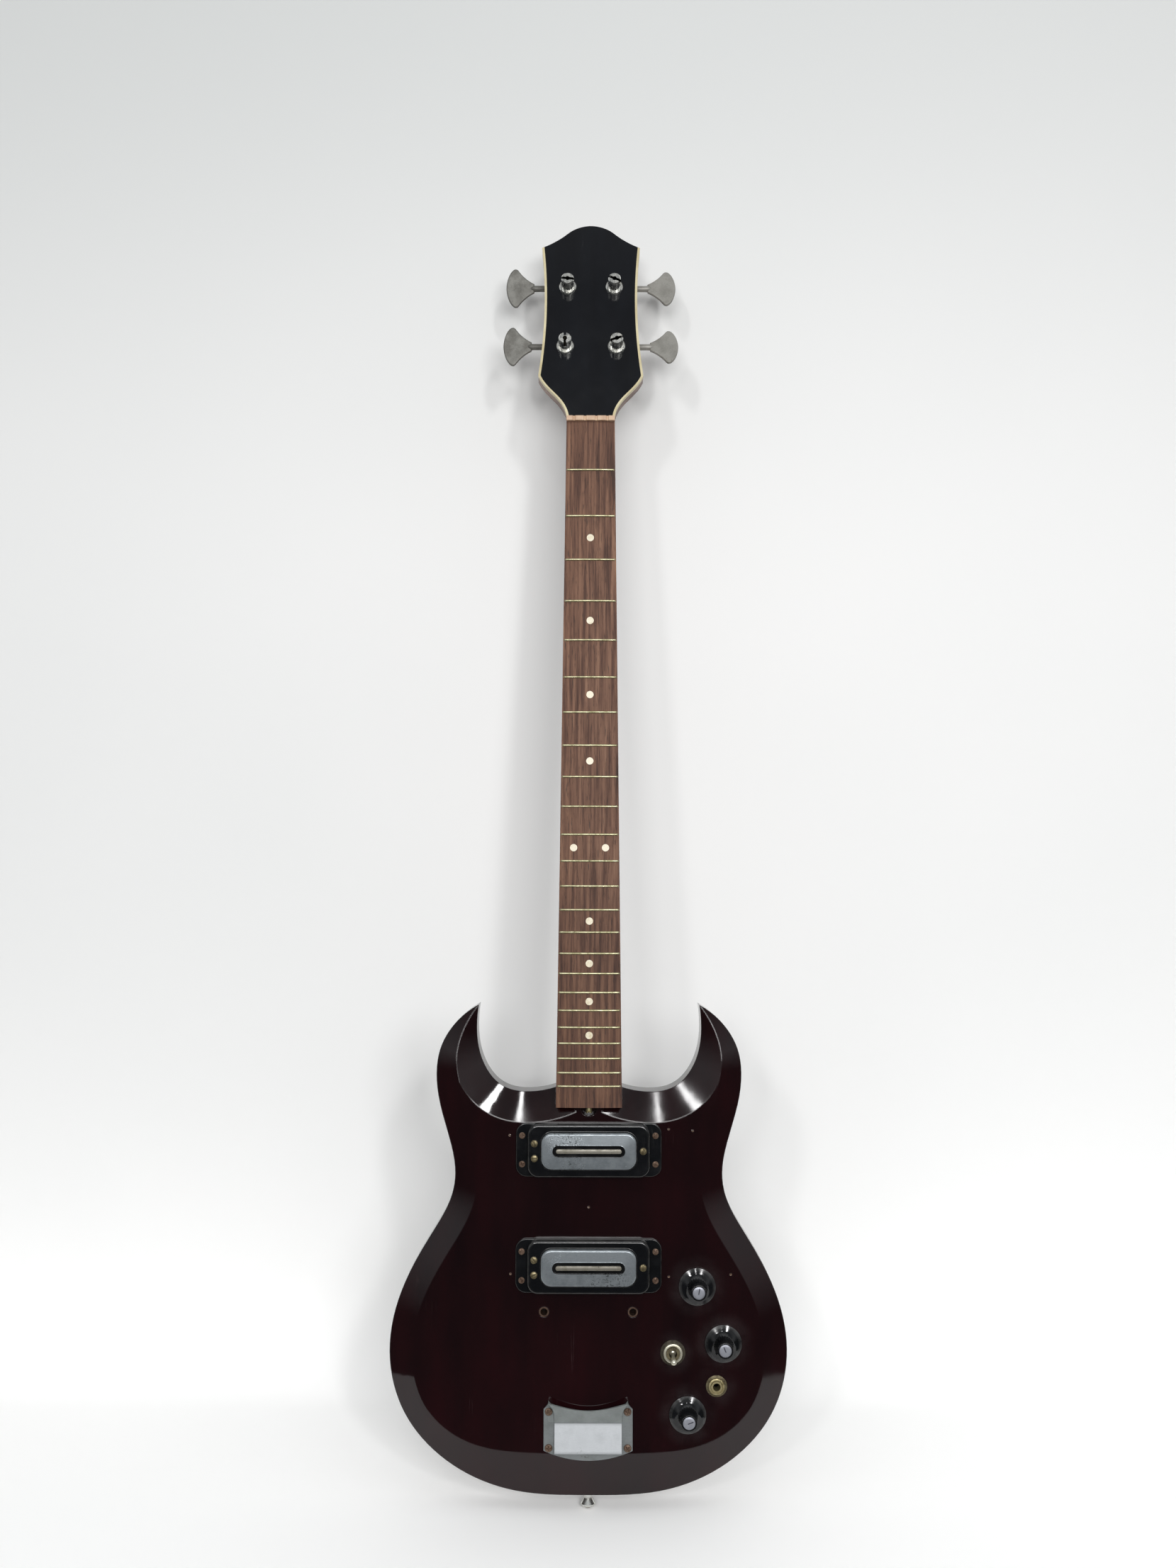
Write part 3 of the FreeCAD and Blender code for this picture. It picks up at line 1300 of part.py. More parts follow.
knob_blank = shaped("knob_blank", knob_shape())
flutes = []
for index in range(counts["knob_flutes"]):
    angle = 2 * math.pi * index / counts["knob_flutes"]
    flutes.append(rod("knob_flute_%d" % index, d.knob_flute_radius, d.knob_height - d.knob_stem_base + d.overrun,
                      d.knob_stem_radius * math.cos(angle), d.knob_stem_radius * math.sin(angle),
                      d.knob_stem_base, "+z"))
knob_pattern = cut("knob_pattern", knob_blank, [gather("knob_flute_set", flutes)])
face_axis, face_turn = along["-y"]
for label, x, z in controls:
    node("knob_" + label, gather("knob_" + label, [
        copy("knob_link_" + label, knob_pattern, x, 0, z, face_axis, face_turn)]))
    node("knob_cap_" + label, rod("knob_cap_" + label, d.cap_radius, d.cap_thickness, x, -d.knob_height, z))
    node("pot_shaft_" + label, rod("pot_shaft_" + label, d.pot_shaft_radius,
                                   d.knob_bore_depth + d.front_wall + d.pot_depth / 2, x, -d.knob_bore_depth, z))
    case = rod("pot_case_" + label, d.pot_radius, d.pot_depth, x, d.front_wall, z)
    bushing = rod("pot_bushing_" + label, d.pot_bushing_radius, d.pot_bushing_rise + d.front_wall,
                  x, -d.pot_bushing_rise, z)
    bore = rod("pot_bore_" + label, d.pot_shaft_radius + d.running_fit,
               d.pot_bushing_rise + d.overrun + d.front_wall + d.pot_depth / 2 + d.running_fit,
               x, -(d.pot_bushing_rise + d.overrun), z)
    pots.append(cut("pot_" + label, fuse("pot_solid_" + label, [case, bushing]), [bore]))
    nuts.append(hex_nut("pot_nut_" + label, d.pot_nut_radius, d.pot_nut_height, d.pot_bushing_radius,
                        x, -d.pot_nut_height, z))
    panel_holes.append(rod("pot_hole_" + label, d.pot_bushing_radius, d.front_wall + d.overrun * 2, x, -d.overrun, z))
node("pots", gather("pots", pots))

switch_z = -d.switch_drop
switch_box = block("switch_box", d.switch_x - d.switch_housing_width / 2, d.front_wall,
                   switch_z - d.switch_housing_height / 2, d.switch_housing_width, d.switch_housing_depth,
                   d.switch_housing_height)
switch_bushing = rod("switch_bushing", d.switch_bushing_radius, d.switch_bushing_rise + d.front_wall,
                     d.switch_x, -d.switch_bushing_rise, switch_z)
switch_bore = rod("switch_bore", d.switch_bore_radius, d.switch_bushing_rise + d.overrun + d.front_wall,
                  d.switch_x, -(d.switch_bushing_rise + d.overrun), switch_z)
node("switch_housing", cut("switch_housing", fuse("switch_solid", [switch_box, switch_bushing]), [switch_bore]))
nuts.append(ring("switch_nut", d.switch_nut_radius, d.switch_nut_height, d.switch_bushing_radius,
                 d.switch_x, -(d.washer_thickness + d.switch_nut_height), switch_z))
nuts.append(ring("switch_washer", d.washer_radius, d.washer_thickness, d.switch_bushing_radius,
                 d.switch_x, -d.washer_thickness, switch_z))
panel_holes.append(rod("switch_hole", d.switch_bushing_radius, d.front_wall + d.overrun * 2,
                       d.switch_x, -d.overrun, switch_z))
lever_stem = taper("lever_stem", d.lever_root_radius, d.lever_tip_radius, d.lever_length, 0, 0, 0, "-y")
lever_knob = ball("lever_knob", d.lever_ball_radius, 0, -d.lever_length, 0)
lever_pivot = ball("lever_pivot", d.switch_bore_radius - d.running_fit)
lever = fuse("switch_lever", [lever_stem, lever_knob, lever_pivot])
node("switch_lever", place(lever, d.switch_x, d.switch_pivot_depth, switch_z, (1, 0, 0), d.lever_tilt))

jack_z = -d.jack_drop
jack_barrel = rod("jack_barrel", d.jack_barrel_radius, d.jack_barrel_rise + d.front_wall,
                  d.jack_x, -d.jack_barrel_rise, jack_z)
jack_flange = rod("jack_flange", d.jack_flange_radius, d.jack_flange_thickness, d.jack_x, d.front_wall, jack_z)
jack_leaves = []
for side in (-1, 1):
    spot = d.jack_x + side * (d.jack_flange_radius - d.jack_leaf_thickness * 2) - d.jack_leaf_thickness / 2
    jack_leaves.append(block("jack_leaf_%d" % (side + 1), spot, d.front_wall, jack_z - d.jack_leaf_half_width,
                             d.jack_leaf_thickness, d.jack_frame_depth, d.jack_leaf_half_width * 2))
jack_bore = rod("jack_bore", d.jack_bore_radius, d.jack_barrel_rise + d.front_wall + d.jack_flange_thickness
                + d.overrun * 2, d.jack_x, -(d.jack_barrel_rise + d.overrun), jack_z)
node("jack_socket", cut("jack_socket", fuse("jack_solid", [jack_barrel, jack_flange] + jack_leaves), [jack_bore]))
nuts.append(ring("jack_nut", d.jack_nut_radius, d.jack_nut_height, d.jack_barrel_radius,
                 d.jack_x, -(d.washer_thickness + d.jack_nut_height), jack_z))
nuts.append(ring("jack_washer", d.jack_washer_radius, d.washer_thickness, d.jack_barrel_radius,
                 d.jack_x, -d.washer_thickness, jack_z))
panel_holes.append(rod("jack_hole", d.jack_barrel_radius, d.front_wall + d.overrun * 2, d.jack_x, -d.overrun, jack_z))
node("panel_nuts", gather("panel_nuts", nuts))


def control_plan(margin):
    return [(d.knob_one_x - margin, d.knob_one_z + margin), (d.knob_one_x + margin, d.knob_one_z + margin),
            (d.knob_two_x + margin, -d.knob_two_drop + margin), (d.knob_two_x + margin, jack_z - margin),
            (d.knob_three_x + margin, -d.knob_three_drop - margin), (d.switch_x - margin, -d.knob_three_drop - margin),
            (d.switch_x - margin, switch_z + margin)]


cover_front = d.body_thickness - d.rear_cover_thickness
control_cavity = slab("control_cavity", control_plan(d.cavity_margin), d.front_wall,
                      d.body_thickness, d.cavity_corner)
cover_recess = slab("cover_recess", control_plan(d.cavity_margin + d.cover_ledge + d.joint_fit), cover_front,
                    d.rear_cover_thickness + d.overrun, d.cavity_corner + d.cover_ledge)
cover_plate = slab("cover_plate", control_plan(d.cavity_margin + d.cover_ledge), cover_front,
                   d.rear_cover_thickness, d.cavity_corner + d.cover_ledge)
edge_middle = d.cavity_margin + d.cover_ledge / 2
cover_screw_spots = [
    (d.knob_one_x, d.body_thickness, d.knob_one_z + edge_middle),
    (d.knob_two_x + edge_middle, d.body_thickness, (-d.knob_two_drop + jack_z) / 2),
    (d.knob_three_x, d.body_thickness, -d.knob_three_drop - edge_middle),
    (d.switch_x - edge_middle, d.body_thickness, switch_z - edge_middle),
]
small_screw_links += screw_links("cover_screw", small_screw, cover_screw_spots, "+y")
small_screws = node("small_wood_screws", gather("small_wood_screws", small_screw_links))
node("rear_cover", cut("rear_cover", cover_plate, [
    rod("cover_hole_%d" % index, d.small_shank_radius, d.rear_cover_thickness + d.overrun * 2, x,
        cover_front - d.overrun, z)
    for index, (x, y, z) in enumerate(cover_screw_spots)]))


# Leads from the pickups, lying in drilled holes that run to the control cavity

cavity_half = d.pickup_plate_half_width + d.cavity_clearance
cavity_tall = d.pickup_plate_half_height + d.cavity_clearance
lead_gap = d.pickup_neck_z - d.pickup_bridge_z - cavity_tall * 2
lead_low = d.lead_depth + d.lead_hole_radius - d.lead_radius
long_hole = rod("long_lead_hole", d.lead_hole_radius, lead_gap + d.overrun * 2, 0, d.lead_depth,
                d.pickup_bridge_z + cavity_tall - d.overrun, "+z")
side_run = d.knob_one_x - d.cavity_margin - cavity_half
side_z = d.knob_one_z + d.cavity_margin * 0.6
side_hole = rod("side_lead_hole", d.lead_hole_radius, side_run + d.overrun * 2, cavity_half - d.overrun,
                d.lead_depth, side_z, "+x")
long_lead = rod("long_lead", d.lead_radius, lead_gap + d.overrun, 0, lead_low,
                d.pickup_bridge_z + cavity_tall - d.overrun / 2, "+z")
side_lead = rod("side_lead", d.lead_radius, side_run + d.overrun, cavity_half - d.overrun / 2, lead_low, side_z, "+x")
node("pickup_leads", gather("pickup_leads", [long_lead, side_lead]))


# Strap buttons, one below the body and one on its back behind the neck

strap_button = turned("strap_button", [
    (d.large_shank_radius, 0), (d.strap_base_radius, 0), (d.strap_waist_radius, d.strap_height * 0.45),
    (d.strap_head_radius, d.strap_height - d.strap_rim), (d.strap_head_radius, d.strap_height - d.strap_rim * 0.5),
    (d.strap_head_radius - d.strap_rim * 0.5, d.strap_height), (d.large_shank_radius, d.strap_height)])
strap_spots = [(0, d.body_thickness / 2, -d.body_bottom_drop, "-z"), (0, d.body_thickness, d.strap_back_z, "+y")]
strap_links = []
for index, (x, y, z, way) in enumerate(strap_spots):
    axis, turn = along[way]
    strap_links.append(copy("strap_button_%d" % index, strap_button, x, y, z, axis, turn))
    rise_y = d.strap_height if way == "+y" else 0
    rise_z = -d.strap_height if way == "-z" else 0
    large_screw_links += screw_links("strap_screw_%d" % index, large_screw, [(x, y + rise_y, z + rise_z)], way)
node("strap_buttons", gather("strap_buttons", strap_links))
large_screws = node("large_wood_screws", gather("large_wood_screws", large_screw_links))


# Small screw holes left open on the face

pilot_spots = [
    (-d.surround_half_width * 1.09, d.pickup_neck_z + d.surround_half_height * 0.52),
    (d.surround_half_width * 1.10, d.pickup_neck_z + d.surround_half_height * 0.76),
    (d.surround_half_width * 1.43, d.pickup_neck_z + d.surround_half_height * 0.70),
    (0, (d.pickup_neck_z + d.pickup_bridge_z) / 2),
    (-d.surround_half_width * 1.07, d.pickup_bridge_z - d.surround_half_height * 0.33),
    (d.surround_half_width * 1.10, d.pickup_bridge_z - d.surround_half_height * 0.42),
    (d.knob_one_x * 1.31, d.pickup_bridge_z - d.surround_half_height * 0.33),
]
pilots = gather("pilot_holes", [
    rod("pilot_%d" % index, d.pilot_radius, d.pilot_depth + d.overrun, x, -d.overrun, z)
    for index, (x, z) in enumerate(pilot_spots)])
strap_seat = rod("strap_seat", d.strap_base_radius + d.joint_fit, d.overrun, 0, d.body_thickness / 2,
                 -d.body_bottom_drop, "-z")
node("body", cut("body", body_blank_item,
                 [pocket, mortise, truss_notch] + cavities + stud_holes + panel_holes
                 + [control_cavity, cover_recess, long_hole, side_hole, pilots, strap_seat,
                    small_screws, large_screws]))
node("truss_rod_nut", cut("truss_rod_nut", truss_nut_blank, [truss_nut_bore, truss_nut_slot]))


# Build, check and write

doc.recompute()
faults = []
for item in doc.Objects:
    if "Invalid" in item.State or "Error" in item.State:
        faults.append("%s %s" % (item.Name, item.State))
for name, item in nodes.items():
    shape = item.Shape
    if shape.isNull() or not shape.isValid() or not shape.Solids:
        faults.append("%s has no valid solid" % name)
if faults:
    raise SystemExit("\n".join(faults))

os.makedirs("parts", exist_ok=True)
for name, item in nodes.items():
    item.Shape.exportStep("parts/%s.step" % name)
    box = item.Shape.BoundBox
    print("%-26s %3d solids %12.1f mm3  x %.1f %.1f  y %.1f %.1f  z %.1f %.1f" % (
        name, len(item.Shape.Solids), item.Shape.Volume,
        box.XMin, box.XMax, box.YMin, box.YMax, box.ZMin, box.ZMax))
print(len(nodes), "nodes")
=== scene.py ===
import bpy
import bmesh
import math
import numpy as np
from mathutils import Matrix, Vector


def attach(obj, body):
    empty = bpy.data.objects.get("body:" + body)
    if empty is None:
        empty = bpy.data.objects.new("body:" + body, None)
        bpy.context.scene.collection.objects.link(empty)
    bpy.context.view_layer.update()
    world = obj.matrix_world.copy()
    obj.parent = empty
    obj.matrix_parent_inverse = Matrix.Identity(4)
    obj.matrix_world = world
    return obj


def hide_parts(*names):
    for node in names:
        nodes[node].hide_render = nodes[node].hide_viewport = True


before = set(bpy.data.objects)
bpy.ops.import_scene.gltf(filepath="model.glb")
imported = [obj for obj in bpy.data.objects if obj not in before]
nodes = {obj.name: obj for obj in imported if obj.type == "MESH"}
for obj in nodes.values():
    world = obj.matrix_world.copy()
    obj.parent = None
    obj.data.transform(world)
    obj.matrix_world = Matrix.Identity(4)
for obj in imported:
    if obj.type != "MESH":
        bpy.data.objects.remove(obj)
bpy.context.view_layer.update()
mm = 0.001
print("frame:", len(nodes), "nodes")


# places that several pieces share, in millimetres

layout = {
    "knobs": {"one": (92.0, 21.6), "two": (114.0, -25.6), "three": (83.8, -84.6)},
    "switch": (71.4, -33.5), "jack": (108.2, -61.0), "bodyBack": 38.0,
    "pickups": {"neck_pickup": 136.0, "bridge_pickup": 39.0},
    # the headstock's face starts past the nut and leans back
    "headTilt": math.radians(8), "headY": -6.0, "headZ": 766.0,
    # side, distance from the middle and distance up the headstock of each tuner's post
    "tuners": {"one": (-1, 20.6, 124.0), "two": (1, 20.6, 124.0),
               "three": (-1, 22.6, 67.4), "four": (1, 22.6, 67.4)},
}


# mesh helpers, all working in millimetres

def gridFaces(rows, cols, closeRows, closeCols, start=0):
    # one quad for each cell of a rows by cols grid, wrapped where a direction is closed
    index = np.arange(rows * cols).reshape(rows, cols) + start
    if closeRows:
        index = np.vstack([index, index[:1]])
    if closeCols:
        index = np.hstack([index, index[:, :1]])
    return np.stack([index[:-1, :-1], index[:-1, 1:], index[1:, 1:], index[1:, :-1]], -1).reshape(-1, 4)


def addObject(name, data):
    made = bpy.data.objects.new(name, data)
    bpy.context.scene.collection.objects.link(made)
    return made


def makePiece(name, grids, finish, body, sharp=38, closeRows=False, closeCols=True, wear=None):
    # grids of points go into one mesh; poles and seams close when equal points merge
    points, faces, start = [], [], 0
    for grid in grids:
        rows, cols = grid.shape[:2]
        points.append(grid.reshape(-1, 3))
        faces.append(gridFaces(rows, cols, closeRows, closeCols, start))
        start += rows * cols
    mesh = bpy.data.meshes.new(name)
    mesh.from_pydata((np.concatenate(points) * mm).tolist(), [], np.concatenate(faces).tolist())
    if wear:  # how much the edge is rubbed, one value for each row of points
        rubbed = np.concatenate([np.repeat(rows, grid.shape[1]) for rows, grid in zip(wear, grids)])
        mesh.attributes.new("wear", "FLOAT", "POINT").data.foreach_set("value", rubbed.astype(np.float32))
    shell = bmesh.new()
    shell.from_mesh(mesh)
    bmesh.ops.remove_doubles(shell, verts=shell.verts, dist=2e-6)
    bmesh.ops.dissolve_degenerate(shell, edges=shell.edges, dist=1e-7)
    bmesh.ops.recalc_face_normals(shell, faces=shell.faces)
    shell.to_mesh(mesh)
    shell.free()
    mesh.shade_smooth()
    mesh.set_sharp_from_angle(angle=math.radians(sharp))
    mesh.materials.append(finish)
    piece = addObject(name, mesh)
    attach(piece, body)
    return piece


def facing(points, x, y, z, way):
    # across, up and outward distances laid on the face (-y), the back (+y) or the lower end (-z)
    a, b, h = points[..., 0], points[..., 1], points[..., 2]
    if way == "-y":
        return np.stack([x + a, y - h, z + b], -1)
    if way == "+y":
        return np.stack([x - a, y + h, z + b], -1)
    return np.stack([x + a, y - b, z - h], -1)


def fullTurn(steps):
    # equal angles round a circle
    return np.linspace(0, 2 * np.pi, steps, endpoint=False)


def swung(first, second, degrees):
    # two coordinates turned about their origin
    c, s = math.cos(math.radians(degrees)), math.sin(math.radians(degrees))
    return first * c - second * s, first * s + second * c


def spun(profile, steps):
    # radius and height rows swept round a full turn
    profile = np.asarray(profile, float)
    turn = fullTurn(steps)
    radius = profile[:, :1]
    return np.stack([radius * np.cos(turn), radius * np.sin(turn), np.repeat(profile[:, 1:2], steps, 1)], -1)


def roundRing(rows, steps):
    # rows of half width, half height, corner and depth: four quarter circles joined by straight runs
    rows = np.asarray(rows, float)
    wide, tall, corner, deep = (rows[:, i, None] for i in range(4))
    quarter = (np.arange(4)[:, None] * np.pi / 2 + np.linspace(0, np.pi / 2, steps)).ravel()
    signX = np.repeat([1, -1, -1, 1], steps)
    signZ = np.repeat([1, 1, -1, -1], steps)
    x = signX * (wide - corner) + corner * np.cos(quarter)
    z = signZ * (tall - corner) + corner * np.sin(quarter)
    return np.stack([x, np.broadcast_to(deep, x.shape), z], -1)


def headPlace(points):
    # headstock frame to the instrument's frame
    y, z = points[..., 1], points[..., 2]
    c, s = math.cos(layout["headTilt"]), math.sin(layout["headTilt"])
    return np.stack([points[..., 0], layout["headY"] + y * c + z * s, layout["headZ"] - y * s + z * c], -1)


def threePointArc(first, middle, last, count):
    # the circle through three points of a profile, walked from the first to the last
    a, b, c = (np.array(spot, float) for spot in (first, middle, last))
    centre = np.linalg.solve(np.array([b - a, c - a]) * 2, np.array([b @ b - a @ a, c @ c - a @ a]))
    start, stop = (math.atan2(spot[1] - centre[1], spot[0] - centre[0]) for spot in (a, c))
    turn = start + ((stop - start + np.pi) % (2 * np.pi) - np.pi) * np.linspace(0, 1, count)
    return centre + np.hypot(*(a - centre)) * np.stack([np.cos(turn), np.sin(turn)], -1)


def curveThrough(points, count):
    # a smooth line through the points: each stretch is a cubic whose slopes come from its neighbours
    points = np.asarray(points, float)
    long = np.vstack([2 * points[0] - points[1], points, 2 * points[-1] - points[-2]])[:, None]
    t = np.linspace(0, 1, count, endpoint=False)[None, :, None]
    a, b, c, d = long[:-3], long[1:-2], long[2:-1], long[3:]
    square, cube = 2 * a - 5 * b + 4 * c - d, 3 * b - a - 3 * c + d
    line = 0.5 * (2 * b + (c - a) * t + square * t ** 2 + cube * t ** 3)
    return np.vstack([line.reshape(-1, 2), points[-1:]])


def softEdge(far, width):
    # one inside the width, falling smoothly to nothing just outside it
    t = np.clip((far - width * 0.75) / (width * 0.5), 0, 1)
    return 1 - t * t * (3 - 2 * t)


# material helpers

def tone(red, green, blue):
    # a screen colour, 0 to 255, as a linear one
    value = np.array([red, green, blue]) / 255
    return tuple(np.where(value < 0.04045, value / 12.92, ((value + 0.055) / 1.055) ** 2.4)) + (1.0,)


def startFinish(name, **sockets):
    finish = bpy.data.materials.new(name)
    finish.use_nodes = True
    tree = finish.node_tree
    shader = tree.nodes["Principled BSDF"]
    for key, value in sockets.items():
        shader.inputs[key].default_value = value
    return finish, tree, shader, tree.nodes.new("ShaderNodeTexCoord").outputs["Object"]


def link(tree, value, socket):
    if isinstance(value, bpy.types.NodeSocket):
        tree.links.new(value, socket)
    else:
        socket.default_value = value


def noiseOf(tree, place, size, detail=4.0, rough=0.55, stretch=(1, 1, 1), turn=(0, 0, 0)):
    # size in features per metre, stretched along the axes
    shift = tree.nodes.new("ShaderNodeMapping")
    shift.inputs["Scale"].default_value = stretch
    shift.inputs["Rotation"].default_value = turn
    tree.links.new(place, shift.inputs["Vector"])
    made = tree.nodes.new("ShaderNodeTexNoise")
    made.inputs["Scale"].default_value = size
    made.inputs["Detail"].default_value = detail
    made.inputs["Roughness"].default_value = rough
    tree.links.new(shift.outputs["Vector"], made.inputs["Vector"])
    return made.outputs["Fac"]


def rampOf(tree, value, stops):
    made = tree.nodes.new("ShaderNodeValToRGB")
    ramp = made.color_ramp
    while len(ramp.elements) < len(stops):
        ramp.elements.new(0.5)
    for element, (spot, colour) in zip(ramp.elements, stops):
        element.position = spot
        element.color = colour
    tree.links.new(value, made.inputs["Fac"])
    return made.outputs["Color"]


def rangeOf(tree, value, low, high, newLow, newHigh):
    # a smooth step from one value to another between two limits
    made = tree.nodes.new("ShaderNodeMapRange")
    made.interpolation_type = "SMOOTHSTEP"
    for key, number in zip(("From Min", "From Max", "To Min", "To Max"), (low, high, newLow, newHigh)):
        made.inputs[key].default_value = number
    link(tree, value, made.inputs["Value"])
    return made.outputs["Result"]


def levelOf(tree, value, levels, newLow, newHigh):
    # the same between two levels in millimetres
    return rangeOf(tree, value, levels[0] * mm, levels[1] * mm, newLow, newHigh)


def mathOf(tree, kind, first, second=0.0):
    made = tree.nodes.new("ShaderNodeMath")
    made.operation = kind
    link(tree, first, made.inputs[0])
    link(tree, second, made.inputs[1])
    return made.outputs["Value"]


def product(tree, first, *others):
    for other in others:
        first = mathOf(tree, "MULTIPLY", first, other)
    return first


def blendOf(tree, first, second, share):
    # two noises added in shares that make one
    return mathOf(tree, "ADD", product(tree, first, share), product(tree, second, 1 - share))


def mixOf(tree, share, first, second):
    made = tree.nodes.new("ShaderNodeMix")
    made.data_type = "RGBA"
    made.clamp_factor = True
    link(tree, share, made.inputs[0])
    link(tree, first, made.inputs[6])
    link(tree, second, made.inputs[7])
    return made.outputs[2]


def bumpOf(tree, height, strength, distance, soften=0.0, keep=0.0):
    # soften rounds the light on sharp edges by that radius, except where keep is one
    made = tree.nodes.new("ShaderNodeBump")
    if soften:
        edge = tree.nodes.new("ShaderNodeBevel")
        edge.inputs["Radius"].default_value = soften
        plain = tree.nodes.new("ShaderNodeNewGeometry").outputs["Normal"]
        tree.links.new(mixOf(tree, keep, edge.outputs["Normal"], plain), made.inputs["Normal"])
    made.inputs["Strength"].default_value = strength
    made.inputs["Distance"].default_value = distance
    tree.links.new(height, made.inputs["Height"])
    return made.outputs["Normal"]


def connect(tree, shader, colour, rough, normal):
    for key, value in (("Base Color", colour), ("Roughness", rough), ("Normal", normal)):
        tree.links.new(value, shader.inputs[key])


def axisOf(tree, place, axis):
    made = tree.nodes.new("ShaderNodeSeparateXYZ")
    tree.links.new(place, made.inputs["Vector"])
    return made.outputs[axis]


def hairline(tree, place, size, stretch, width, cover):
    # thin lines where a stretched noise crosses its middle, kept in patches by a second noise
    lines = noiseOf(tree, place, size, 0.0, 0.5, stretch, (0, 0.7, 0))
    edge = mathOf(tree, "ABSOLUTE", mathOf(tree, "SUBTRACT", lines, 0.5))
    mask = rangeOf(tree, edge, 0.0, width, 1.0, 0.0)
    patch = rangeOf(tree, noiseOf(tree, place, 18.0, 3.0), cover, cover + 0.12, 0.0, 1.0)
    return product(tree, mask, patch)


def spread(tree, place, spots, reach):
    # spots are x, z and radius on the face: one inside the nearest radius, nothing past it by the reach
    flat = tree.nodes.new("ShaderNodeMapping")
    flat.inputs["Scale"].default_value = (1, 0, 1)
    tree.links.new(place, flat.inputs["Vector"])
    whole = None
    for x, z, size in spots:
        away = tree.nodes.new("ShaderNodeVectorMath")
        away.operation = "DISTANCE"
        away.inputs[1].default_value = (x * mm, 0, z * mm)
        tree.links.new(flat.outputs["Vector"], away.inputs[0])
        near = levelOf(tree, away.outputs["Value"], (size, size + reach), 1.0, 0.0)
        whole = near if whole is None else mathOf(tree, "MAXIMUM", whole, near)
    return whole


# finishes

lacquer = {
    "deep": (13, 4, 6), "wine": (22, 6, 8), "glow": (31, 7, 10), "dust": (120, 112, 112),
    "scratch": (96, 80, 80), "bare": (120, 105, 100), "wood": (214, 190, 168),
    # radii round the controls where dust gathers
    "knobDust": 15.0, "nutDust": 8.0, "dustReach": 14.0,
    # open screw holes; radius and reach of their bare rim, of their wood and of the face left unsoftened
    "holes": [(-67.4, 147.7), (68.0, 153.1), (88.4, 151.8), (0.0, 87.5), (-66.1, 31.6), (68.0, 29.6),
              (120.5, 31.6)],
    "rim": (0.7, 0.6), "drill": (1.5, 0.4), "plain": (4.0, 1.0),
    # depths where dust and hairlines fade, and where the bare wood of the holes starts and stops
    "dustFade": (0.5, 4.0), "lineFade": (0.5, 6.0), "woodStart": (0.1, 0.4), "woodStop": (8.1, 9.0),
    # radius that the light on the edges is softened by
    "soften": 1.3,
}


def nearHoles(tree, place, radii):
    size, reach = radii
    return spread(tree, place, [(x, z, size) for x, z in lacquer["holes"]], reach)


def makeLacquer():
    # dark red over figured wood, with dust round the controls, hairlines and bare rims at the screw holes
    finish, tree, shader, place = startFinish("wineLacquer", IOR=1.46)
    figure = noiseOf(tree, place, 10.0, 5.0, 0.6, (3.0, 3.0, 0.7))
    blotch = noiseOf(tree, place, 7.0, 3.0)
    stops = [(spot, tone(*lacquer[name])) for spot, name in ((0.36, "deep"), (0.5, "wine"), (0.7, "glow"))]
    colour = rampOf(tree, blendOf(tree, figure, blotch, 0.55), stops)
    y = axisOf(tree, place, "Y")
    front = levelOf(tree, y, lacquer["dustFade"], 1.0, 0.0)  # dust lies on the face only
    controls = [(x, z, lacquer["knobDust"]) for x, z in layout["knobs"].values()]
    controls += [(*layout[name], lacquer["nutDust"]) for name in ("switch", "jack")]
    haze = product(tree, spread(tree, place, controls, lacquer["dustReach"]), front)
    dust = product(tree, haze, rangeOf(tree, noiseOf(tree, place, 45.0, 4.0, 0.6), 0.34, 0.7, 0.01, 0.06))
    scratch = hairline(tree, place, 60.0, (2.2, 1.0, 0.05), 0.006, 0.6)
    scratch = product(tree, scratch, levelOf(tree, y, lacquer["lineFade"], 1.0, 0.15))
    colour = mixOf(tree, product(tree, scratch, 0.25), colour, tone(*lacquer["scratch"]))
    colour = mixOf(tree, dust, colour, tone(*lacquer["dust"]))
    ragged = rangeOf(tree, noiseOf(tree, place, 420.0, 2.0), 0.35, 0.6, 0.35, 1.0)
    chip = product(tree, nearHoles(tree, place, lacquer["rim"]), front, ragged)
    colour = mixOf(tree, chip, colour, tone(*lacquer["bare"]))
    below = levelOf(tree, y, lacquer["woodStart"], 0.0, 1.0)
    above = levelOf(tree, y, lacquer["woodStop"], 1.0, 0.0)
    wood = product(tree, nearHoles(tree, place, lacquer["drill"]), product(tree, below, above))
    colour = mixOf(tree, wood, colour, tone(*lacquer["wood"]))
    smear = rangeOf(tree, noiseOf(tree, place, 14.0, 4.0), 0.35, 0.75, 0.05, 0.14)
    rough = mathOf(tree, "ADD", smear, product(tree, mathOf(tree, "MAXIMUM", dust, chip), 0.6))
    rough = mathOf(tree, "ADD", rough, product(tree, scratch, 0.2))
    ripple = mathOf(tree, "SUBTRACT", noiseOf(tree, place, 45.0, 2.0), product(tree, scratch, 0.4))
    plain = nearHoles(tree, place, lacquer["plain"])
    connect(tree, shader, colour, rough, bumpOf(tree, ripple, 0.08, 0.001, lacquer["soften"] * mm, plain))
    return finish


